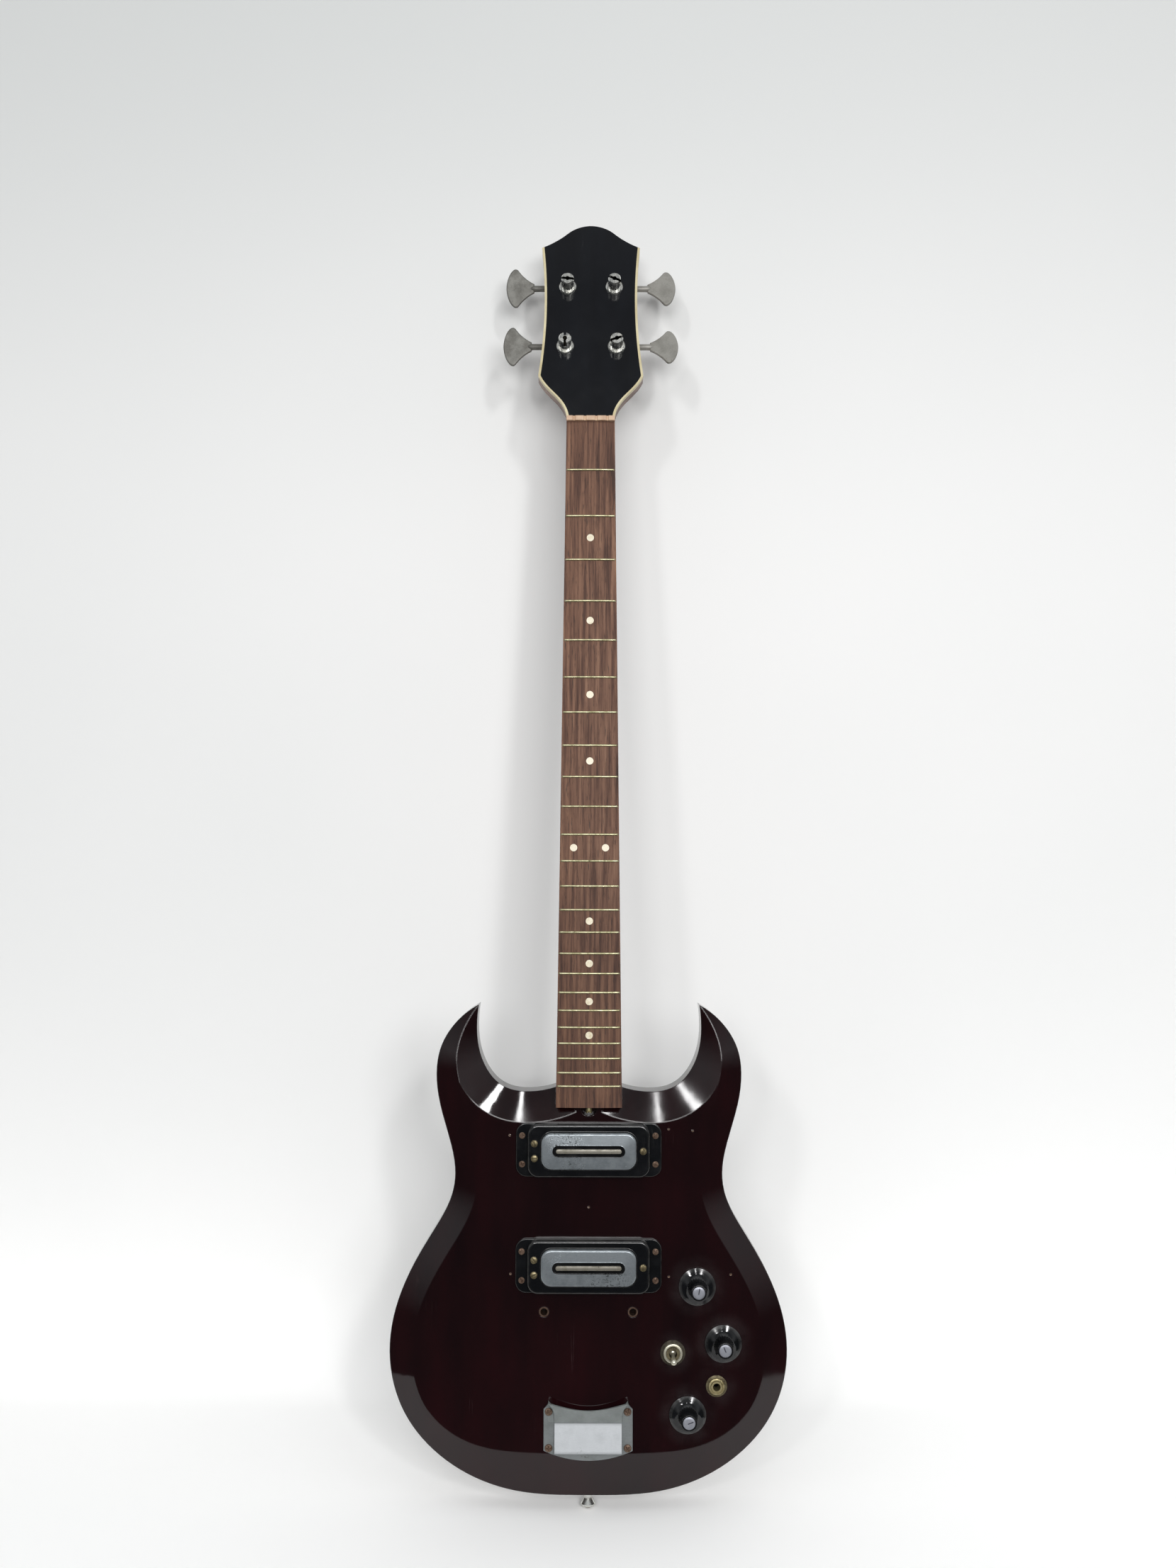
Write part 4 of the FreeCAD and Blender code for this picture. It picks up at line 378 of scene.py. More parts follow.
def makeGloss(name, dark, pale, rough, scuff=(120, 120, 122), scuffShare=0.25, streak=(1, 1, 1)):
    # black lacquer and plastic: a deep colour with faint streaks, hairlines, smears and rubbed edges
    finish, tree, shader, place = startFinish(name, IOR=1.5)
    cloud = noiseOf(tree, place, 22.0, 5.0, 0.6, streak)
    colour = rampOf(tree, cloud, [(0.35, tone(*dark)), (0.72, tone(*pale))])
    line = hairline(tree, place, 130.0, (1.6, 1.0, 0.03), 0.01, 0.58)
    speck = rangeOf(tree, noiseOf(tree, place, 900.0, 2.0), 0.70, 0.78, 0.0, 0.5)
    edge = tree.nodes.new("ShaderNodeAttribute")
    edge.attribute_name = "wear"
    uneven = rangeOf(tree, noiseOf(tree, place, 160.0, 4.0), 0.3, 0.65, 0.25, 1.0)
    rubbed = product(tree, edge.outputs["Fac"], uneven, scuffShare)
    marks = product(tree, mathOf(tree, "MAXIMUM", line, speck), scuffShare)
    marks = mathOf(tree, "MAXIMUM", marks, rubbed)
    colour = mixOf(tree, marks, colour, tone(*scuff))
    smear = rangeOf(tree, noiseOf(tree, place, 60.0, 4.0), 0.3, 0.75, *rough)
    matte = mathOf(tree, "ADD", smear, product(tree, marks, 0.6))
    depth = mathOf(tree, "SUBTRACT", cloud, marks)
    connect(tree, shader, colour, matte, bumpOf(tree, depth, 0.06, 0.0006))
    return finish


def makeWood(name, stops, grain, pores, poreColour, poreShare, rough, darkerBelow=None):
    # long grain with short dark pores, darker below a level; grain and pores are a size and a stretch
    finish, tree, shader, place = startFinish(name, IOR=1.45)
    wander = noiseOf(tree, place, 9.0, 2.0)
    figure = blendOf(tree, noiseOf(tree, place, grain[0], 6.0, 0.62, grain[1]), wander, 0.8)
    colour = rampOf(tree, figure, [(spot, tone(*shade)) for spot, shade in stops])
    if darkerBelow:
        low, high, share = darkerBelow
        # darker towards the lower levels, mixing in the pore colour
        darkened = rangeOf(tree, axisOf(tree, place, "Z"), low, high, share, 0.0)
        colour = mixOf(tree, darkened, colour, tone(*poreColour))
    holes = rangeOf(tree, noiseOf(tree, place, pores[0], 3.0, 0.6, pores[1]), 0.56, 0.68, 0.0, poreShare)
    colour = mixOf(tree, holes, colour, tone(*poreColour))
    matte = rangeOf(tree, figure, 0.3, 0.7, rough[1], rough[0])
    depth = mathOf(tree, "SUBTRACT", product(tree, figure, 0.4), holes)
    connect(tree, shader, colour, matte, bumpOf(tree, depth, 0.25, 0.0004))
    return finish


def paintedBandOf(tree, place, cloud, colour, low, high, half, shade):
    # painted light: a stretch between two levels, inside a half width, given its own shade to stand for the
    # light its face catches
    soft, dimmed = 0.8, 0.82  # how wide its ends fade, and how bright its dull parts are
    up = axisOf(tree, place, "Z")
    across = mathOf(tree, "ABSOLUTE", axisOf(tree, place, "X"))
    rise = levelOf(tree, up, (low, low + soft), 0.0, 1.0)
    fall = levelOf(tree, up, (high - soft, high), 1.0, 0.0)
    side = levelOf(tree, across, (half - soft / 2, half), 1.0, 0.0)
    bright = tone(*shade)
    dull = tuple(dimmed * part for part in bright[:3]) + (1.0,)
    own = rampOf(tree, cloud, [(0.36, dull), (0.6, bright)])
    return mixOf(tree, product(tree, rise, fall, side), colour, own)


def slotShade(tree, place, colour, slots):
    # painted shade: the dark inside of the posts' slots, below their tops and within their walls
    tilted = tree.nodes.new("ShaderNodeMapping")
    tilted.vector_type = "TEXTURE"
    tilted.inputs["Location"].default_value = (0, layout["headY"] * mm, layout["headZ"] * mm)
    tilted.inputs["Rotation"].default_value = (-layout["headTilt"], 0, 0)
    tree.links.new(place, tilted.inputs["Vector"])
    onHead = tilted.outputs["Vector"]
    deep = levelOf(tree, axisOf(tree, onHead, "Y"), slots["levels"], 0.0, 1.0)
    posts = [(side * x, z, slots["radius"]) for side, x, z in layout["tuners"].values()]
    inside = product(tree, spread(tree, onHead, posts, slots["reach"]), deep)
    return mixOf(tree, inside, colour, tone(*slots["darkened"]))


def makeMetal(name, bright, dull, spot, cover, size, rough, spotRough=0.75, metal=1.0, brush=(1, 1, 1),
              eatenAt=None, paintedBands=(), slots=None):
    # plated or bare metal: fine brushing, dull clouds, pitted spots where the finish has gone, and where
    # given, bands of painted light and painted shade inside slots
    finish, tree, shader, place = startFinish(name, Metallic=metal)
    hair = noiseOf(tree, place, 900.0, 2.0, 0.5, brush)
    cloud = blendOf(tree, noiseOf(tree, place, size, 5.0, 0.6), hair, 0.75)
    colour = rampOf(tree, cloud, [(0.36, tone(*dull)), (0.58, tone(*bright))])
    patch = rangeOf(tree, noiseOf(tree, place, size * 0.45, 3.0), cover, cover + 0.14, 0.0, 1.0)
    pit = rangeOf(tree, noiseOf(tree, place, size * 6.0, 4.0, 0.7), 0.5, 0.62, 0.0, 1.0)
    if eatenAt:  # corrosion that sits at known places
        patch = mathOf(tree, "MAXIMUM", product(tree, patch, 0.35), spread(tree, place, eatenAt, 12.0))
    eaten = product(tree, patch, pit)
    # painted light: bands made brighter or darker for how their faces meet the lamps
    for paintedBand in paintedBands:
        colour = paintedBandOf(tree, place, cloud, colour, *paintedBand)
    # painted shade inside the posts' slots
    if slots:
        colour = slotShade(tree, place, colour, slots)
    colour = mixOf(tree, eaten, colour, tone(*spot))
    even = rangeOf(tree, cloud, 0.35, 0.65, rough[1], rough[0])
    matte = mathOf(tree, "MINIMUM", mathOf(tree, "ADD", even, product(tree, eaten, spotRough)), 0.95)
    depth = mathOf(tree, "SUBTRACT", product(tree, hair, 0.3), eaten)
    connect(tree, shader, colour, matte, bumpOf(tree, depth, 0.2, 0.0003))
    return finish


def makeResin(name, dark, pale, size, rough, **sockets):
    # cream plastic, bone and rubber: a soft cloud of colour and a finely grained skin
    finish, tree, shader, place = startFinish(name, **sockets)
    cloud = noiseOf(tree, place, size, 4.0, 0.6)
    colour = rampOf(tree, cloud, [(0.3, tone(*dark)), (0.7, tone(*pale))])
    matte = rangeOf(tree, cloud, 0.3, 0.7, *rough)
    skin = noiseOf(tree, place, 1500.0, 2.0)
    connect(tree, shader, colour, matte, bumpOf(tree, skin, 0.08, 0.0002))
    return finish


# a metal has its bright, dull and eaten colours, the cover and size of its clouds and its roughness,
# then the eaten spots' roughness, how metallic it is and the stretch of its brushing
postMetal = ((226, 226, 222), (188, 187, 180), (120, 112, 98), 0.62, 160.0, (0.14, 0.34))
finishes = {
    "body": makeLacquer(),
    "head": makeGloss(
        "headLacquer", (12, 13, 17), (17, 19, 24), (0.07, 0.13), (90, 90, 94), 0.14, (2.5, 1, 0.4)),
    "plastic": makeGloss("surroundPlastic", (6, 7, 9), (13, 14, 17), (0.08, 0.22), (136, 134, 128), 0.1),
    "knob": makeGloss("knobPlastic", (6, 7, 8), (15, 16, 19), (0.06, 0.18), (120, 118, 116), 0.22),
    "coil": makeGloss("coilPlastic", (6, 6, 7), (12, 12, 13), (0.12, 0.24)),
    "cover": makeGloss("rearPlastic", (15, 15, 16), (28, 28, 29), (0.3, 0.5)),
    "board": makeWood(
        "rosewood",
        [(0.30, (36, 20, 12)), (0.43, (80, 47, 31)), (0.57, (118, 78, 53)), (0.74, (148, 108, 76))],
        (34.0, (9.0, 9.0, 0.35)), (60.0, (22.0, 22.0, 1.4)), (42, 23, 14), 0.8, (0.5, 0.68),
        darkerBelow=(0.17, 0.6, 0.3)),
    "neck": makeWood(
        "neckWood", [(0.32, (70, 40, 24)), (0.5, (98, 60, 38)), (0.68, (124, 82, 54))],
        (24.0, (6.0, 6.0, 0.4)), (60.0, (14.0, 14.0, 1.2)), (58, 33, 20), 0.4, (0.26, 0.42)),
    "fret": makeMetal("fretWire", (196, 192, 158), (156, 150, 116), (104, 92, 62), 0.58, 220.0, (0.3, 0.48)),
    "dot": makeResin("dotPearl", (214, 200, 166), (240, 232, 210), 420.0, (0.25, 0.4), IOR=1.53),
    "binding": makeResin("bindingCream", (192, 178, 138), (216, 206, 170), 60.0, (0.3, 0.5), IOR=1.5),
    "nut": makeResin("nutBone", (184, 146, 116), (216, 186, 156), 150.0, (0.35, 0.55), IOR=1.5),
    "post": makeMetal("postNickel", *postMetal),
    # the slotted posts carry painted shade inside their slots
    "slotted": makeMetal(
        "slottedNickel", *postMetal,
        slots={"levels": (-14.5, -13.8), "radius": 5.0, "reach": 0.3, "darkened": (30, 27, 22)}),
    "key": makeMetal(
        "keyNickel", (148, 146, 140), (130, 128, 122), (112, 108, 98), 0.6, 90.0, (0.45, 0.6), 0.15, 0.4),
    # painted shade: a darker copy of the key nickel for the left pair, whose faces tilt away from the light
    "shadedKey": makeMetal(
        "keyPaintedShade", (110, 109, 104), (95, 93, 88), (86, 82, 74), 0.6, 90.0, (0.45, 0.6), 0.15, 0.4),
    "gear": makeMetal("gearBrass", (186, 152, 84), (140, 108, 58), (92, 70, 44), 0.55, 160.0, (0.3, 0.5)),
    "chrome": makeMetal(
        "coverChrome", (144, 150, 154), (118, 124, 128), (48, 52, 52), 0.58, 120.0, (0.17, 0.27), 0.45, 0.5,
        (0.3, 1, 3), eatenAt=[(-21.0, 144.0, 7.0), (-14.0, 127.0, 1.0), (22.0, 30.0, 6.0), (6.0, 26.5, 2.0)]),
    # the tail's bands are painted light: a painted highlight on the up-facing ramp and painted light on the
    # hood
    "tail": makeMetal(
        "tailChrome", (130, 134, 135), (108, 112, 112), (84, 84, 80), 0.58, 80.0, (0.32, 0.5), 0.4, 0.4,
        (0.4, 1, 3), paintedBands=[(-115.6, -91.0, 28.4, (180, 183, 186)), (-91.0, -70.0, 34.0, (130, 135, 134))]),
    "ring": makeMetal(
        "ringNickel", (226, 222, 204), (184, 178, 156), (112, 98, 72), 0.58, 200.0, (0.24, 0.42), 0.5, 0.8),
    "jack": makeMetal(
        "jackBrass", (176, 166, 128), (136, 124, 88), (88, 76, 52), 0.52, 200.0, (0.34, 0.52), 0.5, 0.8),
    "washer": makeMetal(
        "washerDull", (110, 102, 80), (78, 70, 52), (52, 42, 30), 0.45, 200.0, (0.45, 0.65), 0.3, 0.8),
    "darkened": makeMetal(
        "washerGrime", (64, 58, 46), (44, 39, 30), (34, 28, 22), 0.45, 200.0, (0.5, 0.7), 0.2, 0.5),
    "brass": makeMetal(
        "screwBrass", (124, 114, 88), (94, 84, 62), (74, 62, 46), 0.5, 260.0, (0.34, 0.52), 0.5, 0.85),
    "rust": makeMetal(
        "screwRust", (118, 98, 84), (84, 66, 54), (70, 46, 34), 0.42, 260.0, (0.5, 0.75), 0.2, 0.7),
    "bushing": makeMetal(
        "bushingDark", (88, 68, 56), (58, 43, 36), (92, 54, 36), 0.58, 240.0, (0.45, 0.7), 0.3, 0.7),
    "steel": makeMetal(
        "plainSteel", (190, 190, 186), (150, 150, 146), (100, 94, 84), 0.6, 140.0, (0.28, 0.46)),
    "blade": makeMetal(
        "bladeSteel", (138, 134, 124), (108, 104, 92), (84, 76, 62), 0.58, 180.0, (0.34, 0.5), 0.4, 0.6,
        (0.2, 1, 4)),
    "cap": makeMetal(
        "capAluminium", (156, 158, 166), (136, 138, 146), (112, 112, 116), 0.62, 240.0, (0.3, 0.46),
        0.3, 0.45),
    "mark": makeResin("markInk", (34, 34, 44), (52, 52, 64), 300.0, (0.5, 0.7)),
    "rubber": makeResin("sleeveRubber", (16, 16, 16), (30, 30, 30), 200.0, (0.6, 0.85)),
}
print("finishes:", len(finishes))


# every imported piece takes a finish, also those that get a finer shape below

dressed = {
    "body": "body", "neck": "neck", "fingerboard": "board", "fret_dots": "dot", "nut": "nut",
    "headstock_veneer": "head", "headstock_binding": "binding", "truss_rod": "steel", "truss_rod_nut": "jack",
    "tuner_plates": "post", "tuner_ferrules": "post", "tuner_plate_screws": "steel", "pots": "steel",
    "switch_housing": "washer", "switch_lever": "ring", "jack_socket": "jack", "rear_cover": "cover",
    "pickup_leads": "rubber", "strap_buttons": "post", "bridge_bushings": "bushing", "panel_nuts": "ring",
    "tailpiece": "tail", "frets": "fret", "small_wood_screws": "rust", "large_wood_screws": "rust",
    "pickup_height_screws": "brass",
}
for count in layout["tuners"]:
    dressed["tuner_%s_post" % count] = "slotted"
    dressed["tuner_%s_gear" % count] = "gear"
    dressed["tuner_%s_key" % count] = "key"
for count in layout["knobs"]:
    dressed["knob_" + count] = "knob"
    dressed["knob_cap_" + count] = "cap"
    dressed["pot_shaft_" + count] = "gear"
for pickup in layout["pickups"]:
    for part, finish in (("surround", "plastic"), ("cover", "chrome"), ("coil", "coil"), ("blade", "blade"),
                         ("base", "steel"), ("sleeves", "rubber")):
        dressed["%s_%s" % (pickup, part)] = finish
for node, finish in dressed.items():
    nodes[node].data.materials.clear()
    nodes[node].data.materials.append(finishes[finish])
print("dressed:", len(dressed), "nodes")


# knobs

knobLook = {
    "top": 22.0, "topEdge": 0.3, "topSoft": 0.08, "stem": 6.6, "stemFoot": 11.0, "stemRows": 9,
    "flare": [(15.6, 2.1), (12.8, 3.28), (10.4, 4.34), (8.6, 5.7), (7.3, 7.9), (6.6, 11.0)],
    # the rim's lower edge, the hollow under the flare and the bore for the shaft
    "under": [(15.6, 0.9), (15.3, 0.5), (8.0, 0.5), (8.0, 4.6), (3.05, 4.6), (3.05, 16.0), (0.0, 16.0)],
    "flareSteps": 6, "capSteps": 48, "fluteSteps": 8,
    "flutes": 24, "fluteDepth": 0.45, "fluteFoot": 4.8, "fluteRise": 3.0, "fluteSlack": 0.35,
    "seatRadius": 5.35, "seat": 20.8, "lip": 0.12,
    # the rim is rubbed round this level
    "wearLevel": 2.0, "wearReach": 1.6, "wearRadius": 13.0,
    "cap": [(0, 21.88), (3.0, 21.87), (4.6, 21.78), (5.15, 21.5), (5.3, 21.1), (5.3, 20.8), (0, 20.8)],
    # the pointer line on each cap: its turn in degrees, its offset, then half length, half width and depths
    "pointers": {"one": 80, "two": 112, "three": 20}, "offset": 1.3, "pointer": (2.5, 0.42, -21.80, -21.93),
}


def knobGrid():
    # a flared profile swept round its axis; from the flare's neck up the radius dips once for each flute
    look = knobLook
    top, seat, stem = look["top"], look["seatRadius"], look["stem"]
    crown = [(0, look["seat"]), (seat, look["seat"]), (seat, top - look["lip"]), (seat + look["lip"], top),
             (stem - look["topEdge"], top), (stem - look["topSoft"], top - look["topSoft"])]
    levels = np.linspace(top - look["topEdge"], look["stemFoot"] + look["topEdge"], look["stemRows"])
    shaft = np.stack([np.full(look["stemRows"], stem), levels], -1)
    flare = curveThrough(look["flare"], look["flareSteps"])[::-1]
    profile = np.concatenate([crown, shaft, flare, look["under"]])
    steps = look["flutes"] * look["fluteSteps"]
    turn = fullTurn(steps)
    fluted = np.clip((profile[:, 1] - look["fluteFoot"]) / look["fluteRise"], 0, 1)
    fluted = fluted * (profile[:, 0] > stem - look["fluteSlack"])
    grid = spun(profile, steps)
    dip = look["fluteDepth"] * fluted[:, None] * (0.5 + 0.5 * np.cos(look["flutes"] * turn)) ** 2
    grid[..., 0] -= dip * np.cos(turn)
    grid[..., 1] -= dip * np.sin(turn)
    wear = np.clip(1 - np.abs(profile[:, 1] - look["wearLevel"]) / look["wearReach"], 0, 1)
    return grid, wear * (profile[:, 0] > look["wearRadius"])


def strokeGrid(length, width, low, high):
    # a flat bar with round ends, standing from low to high inside a fine raised rim
    rim, lift = 0.04, 0.02
    line, wide = (length - width, 0, 0), (length, width, width)
    inner = (length - rim, width - rim, width - rim)
    return roundRing([(*line, low), (*wide, low), (*wide, high - lift), (*inner, high), (*line, high)], 5)


grid, wear = knobGrid()
bar = strokeGrid(*knobLook["pointer"])
for count, (x, z) in layout["knobs"].items():
    body = "control_" + count
    knob = makePiece("knobFlared_" + count, [facing(grid, x, 0, z, "-y")], finishes["knob"], body,
                     wear=[wear])
    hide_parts("knob_" + count)
    disc = facing(spun(knobLook["cap"], knobLook["capSteps"]), x, 0, z, "-y")
    cap = makePiece("knobDisc_" + count, [disc], finishes["cap"], body)
    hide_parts("knob_cap_" + count)
    across, up = swung(bar[..., 0] + knobLook["offset"], bar[..., 2], knobLook["pointers"][count])
    pointer = np.stack([x + across, bar[..., 1], z + up], -1)
    makePiece("knobMark_" + count, [pointer], finishes["mark"], body)
print("knobs:", len(layout["knobs"]))


# pickups; a shape is a half width, a half height and a corner radius

pickupLook = {
    "cover": (40.2, 15.3, 9.0), "coverTop": -11.5, "coverFoot": 8.0, "coverEdge": 1.7, "wall": 0.7,
    "innerEdge": 1.0, "slot": (30.6, 4.9, 4.7), "slotEdge": 0.45, "cornerSteps": 12,
    "flange": (61.8, 22.5, 9.0), "flangeTop": -2.6, "flangeEdge": 0.7, "flangeRim": 1.2,
    "raised": (51.8, 22.45, 9.0), "raisedTop": -8.5, "raisedFoot": -0.2, "raisedEdge": 2.4, "raisedRim": 2.9,
    "roof": 2.0,
    "window": (40.7, 15.8, 9.5), "windowEdge": 0.6, "windowRim": 1.1, "hollow": (49.8, 20.45, 7.0),
    "blade": (27.8, 1.9, 1.8), "bladeTop": -11.5, "bladeFoot": 4.0, "bladeEdge": 0.35,
    # how much the edges are rubbed, from the first row of each rounding on
    "flangeWear": [0.3, 0.6, 1, 0.8, 0.3], "raisedWear": [0, 0.2, 0.6, 1, 0.7, 0.3, 0.1],
    "windowWear": [0.1, 0.3, 0.5, 0.3, 0.1],
    # corner screws, then the height screws beside the cover
    "cornerX": 56.6, "cornerZ": 12.0, "heightScrews": [(-46.0, 6.2), (-46.0, -6.2), (46.0, 0.0)],
}


def inset(shape, amount):
    return [side - amount for side in shape]


def ring(shape, depth, amount=0.0):
    # one row for roundRing: a shape drawn in by an amount, at a depth
    return inset(shape, amount) + [depth]


def roundedTop(shape, top, edge, count=7):
    # the quarter round from a side wall over to a flat top
    angle = np.linspace(0, np.pi / 2, count)
    return [ring(shape, top + edge * (1 - math.sin(t)), edge * (1 - math.cos(t))) for t in angle]


def coverRows():
    # up the outside, over to the slot, through it and down the inside
    look = pickupLook
    top, foot, edge = look["coverTop"], look["coverFoot"], look["innerEdge"]
    under = top + look["wall"]
    inner = inset(look["cover"], look["wall"])
    rows = [ring(look["cover"], foot)] + roundedTop(look["cover"], top, look["coverEdge"])
    rows += roundedTop(look["slot"], top, -look["slotEdge"])[::-1] + [ring(look["slot"], under)]
    return rows + [ring(inner, under, edge), ring(inner, under + edge), ring(inner, foot)]


def flangeRows():
    # the low frame on the body: over its rounded edge, in to the hollow and down
    look = pickupLook
    top = look["flangeTop"]
    rows = [ring(look["flange"], 0.0)] + roundedTop(look["flange"], top, look["flangeEdge"], 5)
    rows += [ring(look["flange"], top, look["flangeRim"])]
    rows += [ring(look["hollow"], depth) for depth in (top, 0.0)]
    wear = np.zeros(len(rows))
    wear[1:6] = look["flangeWear"]
    return rows, wear


def raisedRows():
    # the raised part of the surround, with a window for the cover and a hollow below
    look = pickupLook
    top, foot = look["raisedTop"], look["raisedFoot"]
    ceiling = top + look["roof"]
    rows = [ring(look["raised"], foot)] + roundedTop(look["raised"], top, look["raisedEdge"])
    rows += [ring(look["raised"], top, look["raisedRim"]), ring(look["window"], top, -look["windowRim"])]
    rows += roundedTop(look["window"], top, -look["windowEdge"], 5)[::-1]
    rows += [ring(look["window"], ceiling), ring(look["hollow"], ceiling), ring(look["hollow"], foot)]
    wear = np.zeros(len(rows))
    wear[1:8] = look["raisedWear"]
    wear[10:15] = look["windowWear"]
    return rows, wear


def bladeRows():
    # a bar with round ends: out along its foot, up the side and over its rounded top
    look = pickupLook
    top, foot = look["bladeTop"], look["bladeFoot"]
    line = [look["blade"][0] - look["blade"][1], 0, 0]
    rows = [line + [foot], ring(look["blade"], foot)]
    return rows + roundedTop(look["blade"], top, look["bladeEdge"], 4) + [line + [top]]


flange, flangeWear = flangeRows()
raised, raisedWear = raisedRows()
for pickup, middle in layout["pickups"].items():
    grids = [roundRing(rows, pickupLook["cornerSteps"]) + (0, 0, middle)
             for rows in (coverRows(), flange, raised, bladeRows())]
    cover, low, high, blade = grids
    piece = makePiece(pickup + "_shell", [cover], finishes["chrome"], pickup, closeRows=True)
    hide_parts(pickup + "_cover")
    piece = makePiece(pickup + "_frame", [low, high], finishes["plastic"], "bass",
                      closeRows=True, wear=[flangeWear, raisedWear])
    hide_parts(pickup + "_surround")
    piece = makePiece(pickup + "_bar", [blade], finishes["blade"], pickup)
    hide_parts(pickup + "_blade")
print("pickups:", len(layout["pickups"]))


# frets

fretLook = {
    "count": 24, "scale": 762.0, "half": 1.0, "high": 1.2, "sunk": 0.3, "inset": 0.5, "endRound": 1.2,
    # the fingerboard below them
    "camber": 300.0, "top": -10.0, "nutHalf": 20.9, "endHalf": 28.0, "endZ": 172.4,
    "across": 33, "around": 20,
}


def fretGrid(count):
    # a half-round crown carried across the cambered board, thinning to a point at each end
    look = fretLook
    z = look["scale"] * 2 ** (-count / 12)
    down = (look["scale"] - z) / (look["scale"] - look["endZ"])
    half = look["nutHalf"] + (look["endHalf"] - look["nutHalf"]) * down - look["inset"]
    x = half * np.sin(np.linspace(-np.pi / 2, np.pi / 2, look["across"]))[:, None]
    full = np.sqrt(1 - np.clip((np.abs(x) - half + look["endRound"]) / look["endRound"], 0, 1) ** 2)
    turn = fullTurn(look["around"])
    lift = np.where(np.sin(turn) > 0, look["high"], look["sunk"]) * np.sin(turn)
    board = look["top"] + look["camber"] - np.sqrt(look["camber"] ** 2 - x ** 2)
    return np.stack(np.broadcast_arrays(x, board - full * lift, z - full * look["half"] * np.cos(turn)), -1)


crowns = [fretGrid(count) for count in range(1, fretLook["count"] + 1)]
fretSet = makePiece("fretCrowns", crowns, finishes["fret"], "bass", sharp=70)
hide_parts("frets")
print("frets:", fretLook["count"])


# tailpiece

tailLook = {
    "half": 37.6, "topHalf": 33.6, "top": -73.2, "dip": -79.8, "shoulder": -80.0, "side": -114.2,
    "belly": -122.4,
    "hoodHalf": 28.6, "flareFoot": -85.0, "sheet": 1.6, "rim": 0.35, "creaseOut": 0.05, "creaseIn": 0.25,
    "hoodFoot": -90.6, "rampTop": -91.4, "rampFoot": -115.2, "stepFoot": -117.4,
    "stepLevels": [-115.6, -116.0, -116.5, -117.0, -117.4],
    # height of the pressed middle at each level
    "levels": [-71.6, -90.6, -91.4, -115.2, -116.0, -117.4, -124.0],
    "heights": [10.0, 2.5, 2.5, 6.3, 6.2, 1.6, 1.6],
    "cheekColumns": 8, "middleColumns": 41, "hoodRows": 18, "rampRows": 14, "lowRows": 4, "overlap": 0.02,
    "screwX": 33.2, "screwLevels": (-82.0, -112.0),
}


def tailGrid():
    # a sheet whose height depends on the level inside the cheeks and is flat outside;
    # the underside is one sheet lower
    look = tailLook
    half, hood, sheet = look["half"], look["hoodHalf"], look["sheet"]
    flat = np.linspace(half - look["rim"], hood + look["creaseOut"], look["cheekColumns"])
    middle = np.linspace(hood - look["creaseIn"], -hood + look["creaseIn"], look["middleColumns"])
    x = np.concatenate([[half], flat, [hood], middle, [-hood], -flat[::-1], [-half]])
    raised = np.abs(x) < hood
    wide, crest, side = look["topHalf"], look["top"], look["side"]
    topArc = threePointArc((-wide, crest), (0, look["dip"]), (wide, crest), 61)
    lowArc = threePointArc((-half, side), (0, look["belly"]), (half, side), 61)
    outward = np.clip((np.abs(x) - hood) / (half - hood), 0, 1)
    curved = np.interp(x * (wide / hood), topArc[:, 0], topArc[:, 1])
    top = np.where(raised, curved, crest + outward * (look["shoulder"] - crest))
    low = np.interp(x, lowArc[:, 0], lowArc[:, 1])
    even = np.zeros(len(x))
    ramp = look["rampFoot"] - look["rampTop"]
    last = np.arange(1, look["lowRows"] + 1) / look["lowRows"]
    runs = [top + (look["hoodFoot"] - top) * t for t in np.linspace(0, 1, look["hoodRows"])]
    runs += [even + look["rampTop"] + ramp * t for t in np.linspace(0, 1, look["rampRows"])]
    runs += [even + level for level in look["stepLevels"]]
    runs += [look["stepFoot"] + (low - look["stepFoot"]) * t for t in last]
    z = np.maximum(np.stack(runs), low)
    rise = np.clip((z - look["flareFoot"]) / (crest - look["flareFoot"]), 0, 1)
    flare = rise ** 2 * (wide - hood)
    x = x + np.sign(x) * np.where(raised, np.abs(x) / hood, 1 - outward) * flare
    height = np.where(raised, np.interp(-z, -np.array(look["levels"]), look["heights"]), sheet)
    end = outward >= 1
    upper = np.stack([x, -np.where(end, sheet / 2, height), z], -1)
    inside = np.where(raised, x * (hood - sheet) / hood, x)
    under = np.stack([inside, -np.where(end, sheet / 2, height - sheet + look["overlap"]), z], -1)
    return np.concatenate([upper, under[::-1]])


tail = makePiece("tailStamping", [tailGrid()], finishes["tail"], "bass", sharp=24,
                 closeRows=True, closeCols=False)
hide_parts("tailpiece")
print("tailpiece: pressed from one sheet")


# screws

headLook = {
    # shares of the radius or the height of a head
    "brim": 0.45, "slot": 0.15, "crossLong": 0.6, "crossThin": 0.14, "press": 0.55, "floor": 0.15,
    "steps": 31, "even": 0.6,
}


